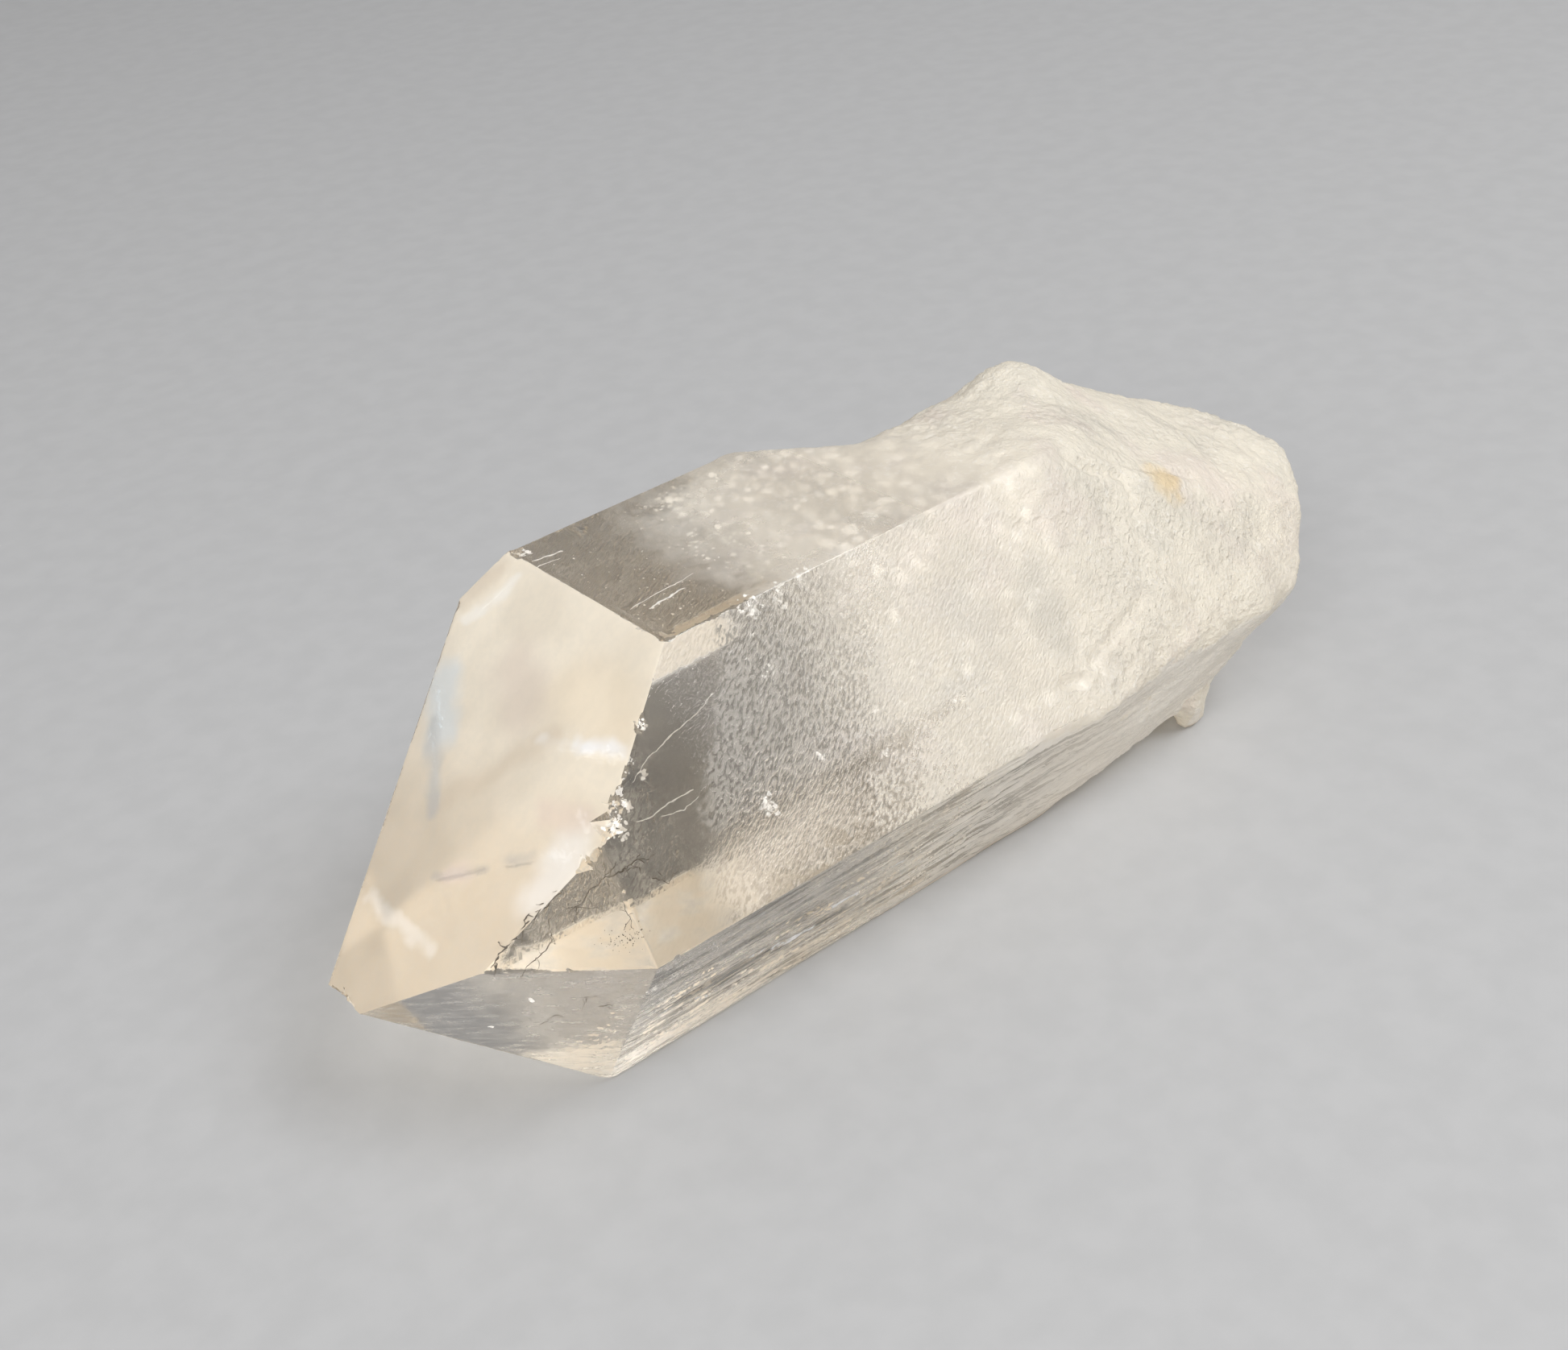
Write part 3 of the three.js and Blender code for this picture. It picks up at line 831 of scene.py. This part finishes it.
def wisp_piece(name, tree, wisps, material, face=TIP_FACE):
    """Thin films of tiny flakes under one face, each spread round a line."""
    rng = random.Random(SEEDS[name])
    solids = []
    for start, end, spread, count, radius in wisps:
        for _ in range(count):
            away = random_normal(rng) * rng.gauss(0, spread)
            away -= face * away.dot(face) * WISP_FLATNESS
            point = Vector(start).lerp(Vector(end), rng.random()) + away
            if depth_below(tree, point) < WISP_GAP:
                continue
            normal = (face + random_normal(rng) * WISP_TILT).normalized()
            solids.append(flake(rng, point, radius * rng.uniform(*WISP_RADII), WISP_THICK, normal))
    return mesh_piece(name, solids, material)


def crack_piece(name, cracks, material, ragged=1.0):
    """Thin wandering cracks, each a closed tube."""
    return mesh_piece(name, [tube(path, radius, ragged) for radius, path in cracks], material)


def twigs(cracks):
    """Short side cracks that leave the long ones at uneven steps."""
    rng = random.Random(SEEDS["dark_cracks"])
    made = []
    for radius, path in cracks:
        for start, end in zip(path, path[1:]):
            start, end = Vector(start), Vector(end)
            along = (end - start).normalized()
            across = along.cross(TWIG_ACROSS).normalized()
            for _ in range(round((end - start).length / TWIG_STEP)):
                root = start.lerp(end, rng.random())
                reach = rng.uniform(*TWIG_REACH)
                out = across * rng.choice((-1, 1)) * rng.uniform(*TWIG_LEAN)
                away = out + along * rng.uniform(-1, 1)
                away.normalize()
                bend = TWIG_BEND + along * rng.uniform(-TWIG_SWAY, TWIG_SWAY)
                path_out = (root, root + away * reach / 2 + bend, root + away * reach)
                made.append((radius * rng.uniform(*TWIG_RADII), path_out))
    return tuple(made)


def cloud_start(z):
    """Where along the prism the milky cloud begins, at a height."""
    low, high = MILK_START
    return low + (high - low) * ramp(*MILK_RISE, z)


def random_normal(rng):
    """A direction with no bias to any side."""
    return Vector((rng.gauss(0, 1), rng.gauss(0, 1), rng.gauss(0, 1))).normalized()


def veil_piece(tree, material):
    """A cloud of tiny flakes that thickens towards the root, drawn out in wisps."""
    rng = random.Random(SEEDS["milky_veils"])
    low, high = FLAKE_BOX
    sway, sway_size = VEIL_SWAY
    front, front_way = VEIL_FRONT
    body, body_way = VEIL_BODY
    wisp_range, wisp_size, wisp_least = VEIL_WISPS
    growth, growth_way = FLAKE_GROWTH
    deeper, deeper_way = EDGE_DEPTH
    solids = []
    for _ in range(FLAKE_TRIES):
        point = Vector(tuple(rng.uniform(a, b) for a, b in zip(low, high)))
        into = cloud_start(point.z) + sway * fractal(point, sway_size, 3) - point.x
        chance = front * ramp(*front_way, into) + body * ramp(*body_way, into)
        wisp = ramp(*wisp_range, fractal(point + VEIL_SHIFT, wisp_size, 4))
        thin = wisp_least + (1 - wisp_least) * wisp
        if rng.random() > chance * thin or len(solids) >= FLAKE_MOST:
            continue
        if depth_below(tree, point) < FLAKE_DEPTH + deeper * ramp(*deeper_way, into):
            continue
        radius = rng.uniform(*FLAKE_RADIUS) + growth * ramp(*growth_way, into) * rng.random()
        solids.append(flake(rng, point, radius, radius * FLAKE_FLATNESS, random_normal(rng)))
    return mesh_piece("milky_veils", solids, material)


# ---- material graphs ----


class Graph:
    """A small helper that adds nodes to a material and links them."""

    def __init__(self, tree):
        self.tree = tree

    def node(self, kind, **values):
        made = self.tree.nodes.new(kind)
        for name, value in values.items():
            setattr(made, name, value)
        return made

    def put(self, value, socket):
        """Link a socket, or set its value; a tint gets its alpha here."""
        if isinstance(value, bpy.types.NodeSocket):
            self.tree.links.new(value, socket)
        else:
            socket.default_value = (*value, 1) if socket.type == "RGBA" else value

    def wired(self, kind, values, **settings):
        """Outputs of a node whose first inputs take the values in turn."""
        made = self.node(kind, **settings)
        for value, socket in zip(values, made.inputs):
            self.put(value, socket)
        return made.outputs

    def math(self, operation, *values, clamp=False):
        return self.wired("ShaderNodeMath", values, operation=operation, use_clamp=clamp)[0]

    def vector(self, operation, *values):
        """Result of a vector operation, a number for dot products and distances."""
        outputs = self.wired("ShaderNodeVectorMath", values, operation=operation)
        return outputs["Value" if operation in ("DOT_PRODUCT", "DISTANCE") else "Vector"]

    def scale(self, vector, share):
        made = self.node("ShaderNodeVectorMath", operation="SCALE")
        self.put(vector, made.inputs[0])
        self.put(share, made.inputs["Scale"])
        return made.outputs[0]

    def fold(self, operation, values):
        total = values[0]
        for value in values[1:]:
            total = self.math(operation, total, value)
        return total

    def add(self, *values):
        return self.fold("ADD", values)

    def mul(self, *values):
        return self.fold("MULTIPLY", values)

    def most(self, *values):
        """The largest of the values."""
        return self.fold("MAXIMUM", values)

    def sway(self, name, pattern, *masks):
        """How far a noise moves a mask's edge, by its named weight and where the masks let it."""
        return self.mul(self.add(pattern, -0.5), *masks, WEIGHTS[name])

    def over(self, name, value):
        """One of the named smooth steps of a value."""
        low, high, *amounts = STEPS[name]
        return self.step(low, high, value, out=amounts or (0.0, 1.0))

    def facing(self, normal):
        """One where the surface faces along a normal, zero where it turns away."""
        own = self.node("ShaderNodeTexCoord").outputs["Normal"]
        return self.over("facing", self.vector("DOT_PRODUCT", own, normal))

    def step(self, low, high, value, out=(0.0, 1.0)):
        """Smooth step of value from low to high."""
        values = (value, low, high, *out)
        return self.wired("ShaderNodeMapRange", values, interpolation_type="SMOOTHSTEP")["Result"]

    def place(self):
        """Position on the piece in millimetres."""
        return self.scale(self.node("ShaderNodeTexCoord").outputs["Object"], 1 / MM)

    def stretch(self, place, size):
        """Position measured in steps of the given size along each axis."""
        mapping = self.node("ShaderNodeMapping", vector_type="TEXTURE")
        self.put(place, mapping.inputs["Vector"])
        mapping.inputs["Scale"].default_value = size
        return mapping.outputs[0]

    def along_axes(self, place, axes, sizes):
        """Position measured along three axes, each in steps of its size."""
        joined = self.node("ShaderNodeCombineXYZ")
        for axis, size, socket in zip(axes, sizes, joined.inputs):
            self.put(self.vector("DOT_PRODUCT", place, Vector(axis) / size), socket)
        return joined.outputs[0]

    def texture(self, kind, place, **values):
        made = self.node(kind)
        self.put(place, made.inputs["Vector"])
        for name, value in values.items():
            made.inputs[name].default_value = value
        return made.outputs

    def noise(self, name, place):
        """One of the named noises, from 0 to 1."""
        size, detail, rough, distort = (*NOISES[name], *PLAIN_NOISE[len(NOISES[name]) - 2:])
        values = {"Scale": 1 / size, "Detail": detail, "Roughness": rough, "Distortion": distort}
        return self.texture("ShaderNodeTexNoise", place, **values)[0]

    def cells(self, place, size):
        """Distance to the middle of the nearest of many random cells."""
        return self.texture("ShaderNodeTexVoronoi", place, Scale=1 / size)["Distance"]

    def bent(self, place, size, reach):
        """Position pushed about by a noise of the given size, by up to half the reach."""
        push = self.texture("ShaderNodeTexNoise", place, Scale=1 / size, Detail=2)["Color"]
        pushed = self.vector("MULTIPLY_ADD", push, (reach,) * 3, place)
        return self.vector("SUBTRACT", pushed, (reach / 2,) * 3)

    def paint(self, colour, place, patches):
        """Colour with soft patches laid over it, each round a line."""
        for start, end, inner, outer, tint, strength in patches:
            near = self.step(outer, inner, self.off_line(place, start, end), out=(0.0, strength))
            colour = self.mix(near, colour, tint)
        return colour

    def off_line(self, place, start, end):
        """Distance in millimetres from the line between two points."""
        way = Vector(end) - Vector(start)
        from_start = self.vector("SUBTRACT", place, start)
        along = self.vector("DOT_PRODUCT", from_start, way / way.length_squared)
        share = self.math("ADD", along, 0.0, clamp=True)
        return self.vector("DISTANCE", from_start, self.scale(way, share))

    def mix(self, factor, a, b):
        """Colour a turning into colour b as the factor rises."""
        made = self.node("ShaderNodeMix", data_type="RGBA")
        self.put(factor, made.inputs[0])
        self.put(a, made.inputs[6])
        self.put(b, made.inputs[7])
        return made.outputs[2]

    def bump(self, height, distance, strength, normal=None):
        """Bump of a height from 0 to 1 that stands distance mm tall."""
        made = self.node("ShaderNodeBump")
        self.put(height, made.inputs["Height"])
        made.inputs["Distance"].default_value = distance * MM
        self.put(strength, made.inputs["Strength"])
        if normal is not None:
            self.put(normal, made.inputs["Normal"])
        return made.outputs[0]


def new_material(name):
    """A material with one Principled shader, its graph helper and its output node."""
    material = bpy.data.materials.new(name)
    material.use_nodes = True
    tree = material.node_tree
    tree.nodes.clear()
    graph = Graph(tree)
    output = graph.node("ShaderNodeOutputMaterial")
    shader = graph.node("ShaderNodeBsdfPrincipled")
    tree.links.new(shader.outputs[0], output.inputs["Surface"])
    return material, graph, shader, output


# ---- quartz material graph ----


def face_normal(face, slope=90.0):
    """Outward normal of prism face number face, or of the tip face beside it for a smaller slope."""
    turn = math.radians(PRISM_STEP * (face - 1))
    lean = math.radians(slope)
    return Vector((math.cos(lean), math.sin(lean) * math.sin(turn), math.sin(lean) * math.cos(turn)))


class Quartz:
    """The quartz graph, with the place, the noises and the faces that its masks share."""

    def __init__(self, g):
        self.g = g
        self.p = g.place()
        split = g.node("ShaderNodeSeparateXYZ")
        g.put(self.p, split.inputs[0])
        self.x, self.y, self.z = split.outputs
        self.bent = g.bent(self.p, *BEND)
        self.broad = g.noise("broad", self.p)
        self.middle = g.noise("middle", self.p)
        self.fine = g.noise("fine", self.p)
        self.strokes = g.noise("strokes", g.along_axes(self.p, STROKE_AXES, STROKE_SIZES))
        self.streaks = g.noise("streaks", g.stretch(self.p, STREAK_SIZES))
        self.near = g.facing(face_normal(2))
        self.lower = g.facing(face_normal(3))
        self.far = g.facing(face_normal(5))
        self.top = g.facing(face_normal(1))
        self.under = g.facing(UNDER_TIP)
        self.tip = g.facing(face_normal(1, TIP_SLOPE))
        self.glow = g.over("glow", g.off_line(self.bent, *GLOW))


def milk_mask(q):
    """How milky: clear at the tip, clouding over along the prism, later on the lower faces."""
    g, x = q.g, q.x
    sway, near_shift, shift = GUARD
    start = g.add(g.over("milk_start", q.z), g.mul(q.near, NEAR_LATER))
    wander = g.add(
        g.sway("milk_broad", q.broad), g.sway("milk_middle", q.middle), g.sway("milk_fine", q.fine),
        g.sway("milk_strokes", q.strokes, q.near), g.sway("milk_streaks", q.streaks, q.lower),
    )
    along = g.add(x, g.mul(start, -1.0), wander, g.over("far_later", q.y))
    guard = g.add(x, g.mul(q.middle, sway), g.mul(q.near, near_shift), shift)
    body = g.mul(g.over("milk", along), g.over("milk_end", guard))
    body = g.mul(body, g.add(1.0, g.mul(q.top, g.over("top_thinner", x))))
    body = g.add(g.mul(body, g.add(1.0, g.mul(q.near, -1.0))), g.mul(near_frost(q), q.near))
    deeper = g.add(along, g.mul(q.near, g.over("deep_z", q.z)))
    deep = g.mul(q.near, g.over("deep", deeper), g.over("deep_end", guard))
    return g.add(g.most(body, deep), g.over("root_milk", x))


def near_frost(q):
    """Frost in two stages behind the slanting window of the near face, and patches below it."""
    g = q.g
    share, end = WINDOW_SLANT
    sway = (g.sway("window_middle", q.middle), g.sway("window_strokes", q.strokes))
    past = g.add(q.x, g.mul(q.z, share), end, *sway)
    stages = g.add(g.over("frost_first", past), g.over("frost_second", past))
    upper = g.mul(stages, g.over("frost_above", q.z))
    low = g.mul(g.over("low_frost", q.middle), g.over("low_frost_z", q.z), g.over("low_frost_x", q.x))
    return g.most(upper, low, q.glow)


def frost_mask(q):
    """Frost where the crystal rests, and on the far face below and in front."""
    g = q.g
    patchy = g.over("rest_patchy", g.noise("rest", q.p))
    rest = g.mul(g.over("rest_z", q.z), g.over("rest_x", g.add(q.x, g.mul(q.middle, REST_SWAY))), patchy)
    edges = g.most(g.over("far_low", g.add(q.z, q.middle)), g.over("far_front", g.add(q.x, q.middle)))
    return g.most(rest, g.mul(q.far, edges, g.over("rest_x", q.x)))


def film_masks(q):
    """Haze on the large tip face, the corner strip beside it, and all the other thin films."""
    g = q.g
    haze = g.mul(q.tip, g.over("haze", g.noise("blotch", q.p)), g.over("haze_x", q.x))
    up = g.add(q.z, g.mul(q.fine, CORNER_SWAY))
    corner = g.mul(q.near, g.over("corner_z", up), g.over("corner_x", q.x))
    veil = g.mul(g.over("veil", g.noise("veil", q.p)), g.over("veil_x", q.x))
    threads = g.mul(q.lower, g.over("threads", g.noise("threads", g.stretch(q.p, THREAD_SIZES))))
    mottle = g.noise("mottle", g.along_axes(q.p, UNDER_AXES, UNDER_SIZES))
    return haze, corner, g.most(veil, threads, g.mul(q.under, g.over("film", mottle)))


def glint_mask(q):
    """Painted highlights: short bright flashes on the fluted lower face."""
    g = q.g
    flashes = [g.step(2 * half, half, g.off_line(q.bent, start, end)) for start, end, half in GLINTS]
    return g.mul(g.most(*flashes), q.lower)


def body_colour(q, frost, corner):
    """Colour of the milky parts: cream with grey, rosy and white patches (one a painted highlight), frost,
    painted light whitening the lower face towards the root, and the painted glow.
    """
    g, x, p = q.g, q.x, q.p
    body = g.mix(g.over("body_x", x), MILK_TINT, ROOT_TINT)
    grey = g.add(g.over("grey", g.noise("grey", p)), g.over("grey_broad", q.broad))
    body = g.mix(grey, body, GREY_TINT)
    body = g.mix(g.over("rosy", g.noise("rosy", p)), body, ROSY_TINT)
    body = g.paint(body, q.bent, BODY_PATCHES)
    # painted light: the lower face, turned down into shade, whitens towards the root
    body = g.mix(g.mul(q.lower, g.over("lower_painted_light", x)), body, SPECK_AND_PAINTED_LIGHT_TINT)
    specks = g.mul(g.over("specks", g.noise("specks", p)), g.over("specks_middle", q.middle))
    body = g.mix(specks, body, SPECK_AND_PAINTED_LIGHT_TINT)
    body = g.mix(frost, body, FROST_TINT)
    body = g.mix(corner, body, CORNER_TINT)
    return g.mix(g.mul(q.glow, GLOW_COLOUR), body, GLOW_TINT)


def painted_shade_mask(q, milk):
    """Painted shade: dark strokes in the frost of the near face, and dark streaks along the lower face."""
    g, x = q.g, q.x
    most, glow_share = DARK_STROKE
    partly = g.mul(g.over("partly_from", milk), g.over("partly_to", milk), g.over("stroke_x", x))
    strength = g.add(most, g.mul(q.glow, glow_share))
    stroke = g.mul(q.near, g.over("stroke", q.strokes), partly, strength)
    fine_stroke = g.mul(q.near, g.over("fine_stroke", q.strokes), g.over("fine_stroke_x", x))
    streak = g.mul(q.lower, g.over("streak", q.streaks), g.over("streak_x", x))
    return g.most(stroke, fine_stroke, streak)


def film_colour(q):
    """Cream film behind the large tip face, browner at its end."""
    g = q.g
    cream = g.mix(g.over("tip_end", q.x), TIP_TINT, TIP_END_TINT)
    cream = g.mix(g.over("tip_grey", q.fine), cream, GREY_TINT)
    return g.paint(cream, q.bent, TIP_PATCHES)


def quartz_colour(q, cloud, body, dark, glint):
    """All the colours laid over each other, from the clear crystal to the stain on the root, with painted
    shade in the clear windows and along the lower face and painted glints on it.
    """
    g = q.g
    # painted shade: the clear windows of the near and top faces darken towards a grey, less where they
    # cloud over or glow
    near_shade, top_shade = WINDOW_SHADE
    shade = g.add(g.mul(q.near, near_shade), g.mul(q.top, top_shade))
    window = g.mul(shade, g.add(1.0, g.mul(cloud, SHADE_LEFT), g.mul(q.glow, SHADE_LEFT)))
    clear = g.mix(g.math("ADD", window, 0.0, clamp=True), CLEAR_TINT, SHADE_TINT)
    colour = g.mix(cloud, clear, body)
    colour = g.mix(dark, colour, SHADE_TINT)
    colour = g.mix(g.mul(q.tip, TIP_FILM), colour, film_colour(q))
    colour = g.paint(colour, q.bent, LOWER_SHADE_AND_TAN_BANDS)
    colour = g.mix(glint, colour, GLINT_TINT)
    away = g.vector("DISTANCE", q.p, STAIN_AT)
    stain = g.over("stain", g.add(away, g.sway("stain_middle", q.middle)))
    return g.mix(stain, colour, STAIN_TINT)


def fine_relief(q, root):
    """Relief too fine for the mesh: hammered near face, grainy root and streaky lower face."""
    g = q.g
    hammered = g.mul(g.over("hammered_x", q.x), g.over("hammered", g.noise("hammered", q.p)), q.near)
    normal = g.bump(q.strokes, BUMPS["strokes"], hammered)
    normal = g.bump(g.noise("grain", q.p), BUMPS["grain"], root, normal)
    sugary = g.mul(g.over("sugary_x", q.x), g.over("sugary", q.broad))
    normal = g.bump(g.cells(q.p, SUGAR_SIZE), BUMPS["sugar"], sugary, normal)
    return g.bump(q.streaks, BUMPS["streaks"], q.lower, normal)


def let_lamps_in(q, shader, output):
    """Lets shadow rays pass straight through, less where it is milky, to light what lies inside."""
    g = q.g
    passing = g.node("ShaderNodeBsdfTransparent")
    g.put(g.mix(g.over("lamps_x", q.x), CLEAR_PASS, MILKY_PASS), passing.inputs[0])
    either = g.node("ShaderNodeMixShader")
    g.put(g.node("ShaderNodeLightPath").outputs["Is Shadow Ray"], either.inputs[0])
    g.put(shader.outputs[0], either.inputs[1])
    g.put(passing.outputs[0], either.inputs[2])
    g.put(either.outputs[0], output.inputs["Surface"])


def quartz_material():
    material, g, shader, output = new_material("quartz")
    q = Quartz(g)
    milk = milk_mask(q)
    frost = frost_mask(q)
    haze, corner, films = film_masks(q)
    glint = glint_mask(q)
    cloud = g.most(milk, frost, haze, corner, films, glint)
    root = g.over("root_x", q.x)

    less = [g.mul(mask, share) for mask, share in zip((cloud, frost, haze), CLEARER)]
    g.put(g.add(1.0, *less), shader.inputs["Transmission Weight"])
    rough = g.add(POLISH, g.mul(cloud, g.over("rough_tip", q.tip)), g.mul(root, ROOT_ROUGH))
    g.put(rough, shader.inputs["Roughness"])
    body = body_colour(q, frost, corner)
    g.put(quartz_colour(q, cloud, body, painted_shade_mask(q, milk), glint), shader.inputs["Base Color"])
    g.put(fine_relief(q, root), shader.inputs["Normal"])
    let_lamps_in(q, shader, output)

    shader.inputs["IOR"].default_value = QUARTZ_IOR
    absorption = g.node("ShaderNodeVolumeAbsorption")
    g.put(ABSORB_TINT, absorption.inputs["Color"])
    absorption.inputs["Density"].default_value = ABSORB_DENSITY
    g.put(absorption.outputs[0], output.inputs["Volume"])
    return material


# ---- other materials ----


def mineral(name):
    """Matt white, blue or dark matter that varies a little between two tints."""
    *tints, rough = MINERALS[name]
    material, g, shader, _ = new_material(name)
    p = g.place()
    g.put(g.mix(g.noise("flake_tint", p), *tints), shader.inputs["Base Color"])
    spread = (rough * FLAKE_GLOSS[0], rough * FLAKE_GLOSS[1])
    g.put(g.step(*STEPS["mottled"], g.noise("flake_gloss", p), out=spread), shader.inputs["Roughness"])
    return material


def floor_material():
    material, g, shader, _ = new_material("pale_floor")
    speck = g.noise("floor", g.place())
    g.put(g.mix(g.over("mottled", speck), *FLOOR_TINTS), shader.inputs["Base Color"])
    shader.inputs["Roughness"].default_value = FLOOR_ROUGH
    return material


# ---- stage ----


def floor():
    """A wide pale floor just under the crystal."""
    bm = bmesh.new()
    bmesh.ops.create_grid(bm, x_segments=2, y_segments=2, size=FLOOR_HALF * MM)
    mesh = bpy.data.meshes.new("floor")
    bm.to_mesh(mesh)
    bm.free()
    mesh.materials.append(floor_material())
    made = linked("floor", mesh)
    made.location.z = -FLOOR_DROP * MM


def area_light(name, at, size, watts):
    """A soft round light aimed at the crystal."""
    data = bpy.data.lights.new(name, "AREA")
    data.shape = "DISK"
    data.size = size * MM
    data.energy = watts
    light = linked(name, data)
    light.location = mm(at)
    light.rotation_euler = (mm(PRISM_CENTRE) - light.location).to_track_quat("-Z", "Y").to_euler()


def sky():
    """Even light from all round."""
    made = bpy.data.worlds.new("studio")
    bpy.context.scene.world = made
    made.use_nodes = True
    background = made.node_tree.nodes["Background"]
    background.inputs["Color"].default_value = (*SKY_TINT, 1)
    background.inputs["Strength"].default_value = SKY_STRENGTH


def camera():
    """The camera where the photo was taken from, as found from the crystal's own edges."""
    data = bpy.data.cameras.new("camera")
    data.lens = LENS
    data.sensor_width = SENSOR
    data.clip_start, data.clip_end = (c * MM for c in CLIP)
    made = linked("camera", data)
    made.location = mm(CAMERA_AT)
    look = (CAMERA_AIM - CAMERA_AT).to_track_quat("-Z", "Y").to_matrix()
    made.rotation_euler = (look @ Matrix.Rotation(-CAMERA_ROLL, 3, "Z")).to_euler()
    bpy.context.scene.camera = made


def light_paths():
    """Enough bounces for light to find its way through the crystal."""
    cycles = bpy.context.scene.cycles
    cycles.sample_clamp_indirect = 0
    cycles.use_light_tree = False  # two lights need no tree, and the render is faster without
    for name, most in BOUNCES.items():
        setattr(cycles, name, most)
    bpy.context.scene.view_settings.view_transform = "Standard"


def crystal():
    """The crystal itself, in place of the CAD node, and its surface as a search tree."""
    piece = crystal_piece(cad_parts[NODE])
    piece.data.materials.append(quartz_material())
    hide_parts(NODE)
    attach(piece, BODY)
    places = [v.co for v in piece.data.vertices]
    return bvhtree.BVHTree.FromPolygons(places, [p.vertices[:] for p in piece.data.polygons])


def inclusions(surface):
    """All that lies inside the crystal."""
    noise.seed_set(SEEDS["wander"])
    veil_piece(surface, mineral("veil"))
    bright = mineral("bright_fracture")
    fracture_piece(surface, bright)
    wisp_piece("white_wisps", surface, WHITE_WISPS, bright)
    wisp_piece("blue_wisps", surface, BLUE_WISPS, mineral("blue_film"))
    wisp_piece("silky_threads", surface, LOWER_WISPS, bright, face_normal(3))
    crack_piece("hairlines", HAIRLINES, bright)
    dark = mineral("dark_crack")
    crack_piece("dark_cracks", DARK_CRACKS + twigs(DARK_CRACKS), dark, DARK_RAGGED)
    wisp_piece("grey_wisps", surface, GREY_WISPS, dark)


camera()
floor()
sky()
for light in LIGHTS:
    area_light(*light)
light_paths()
inclusions(crystal())
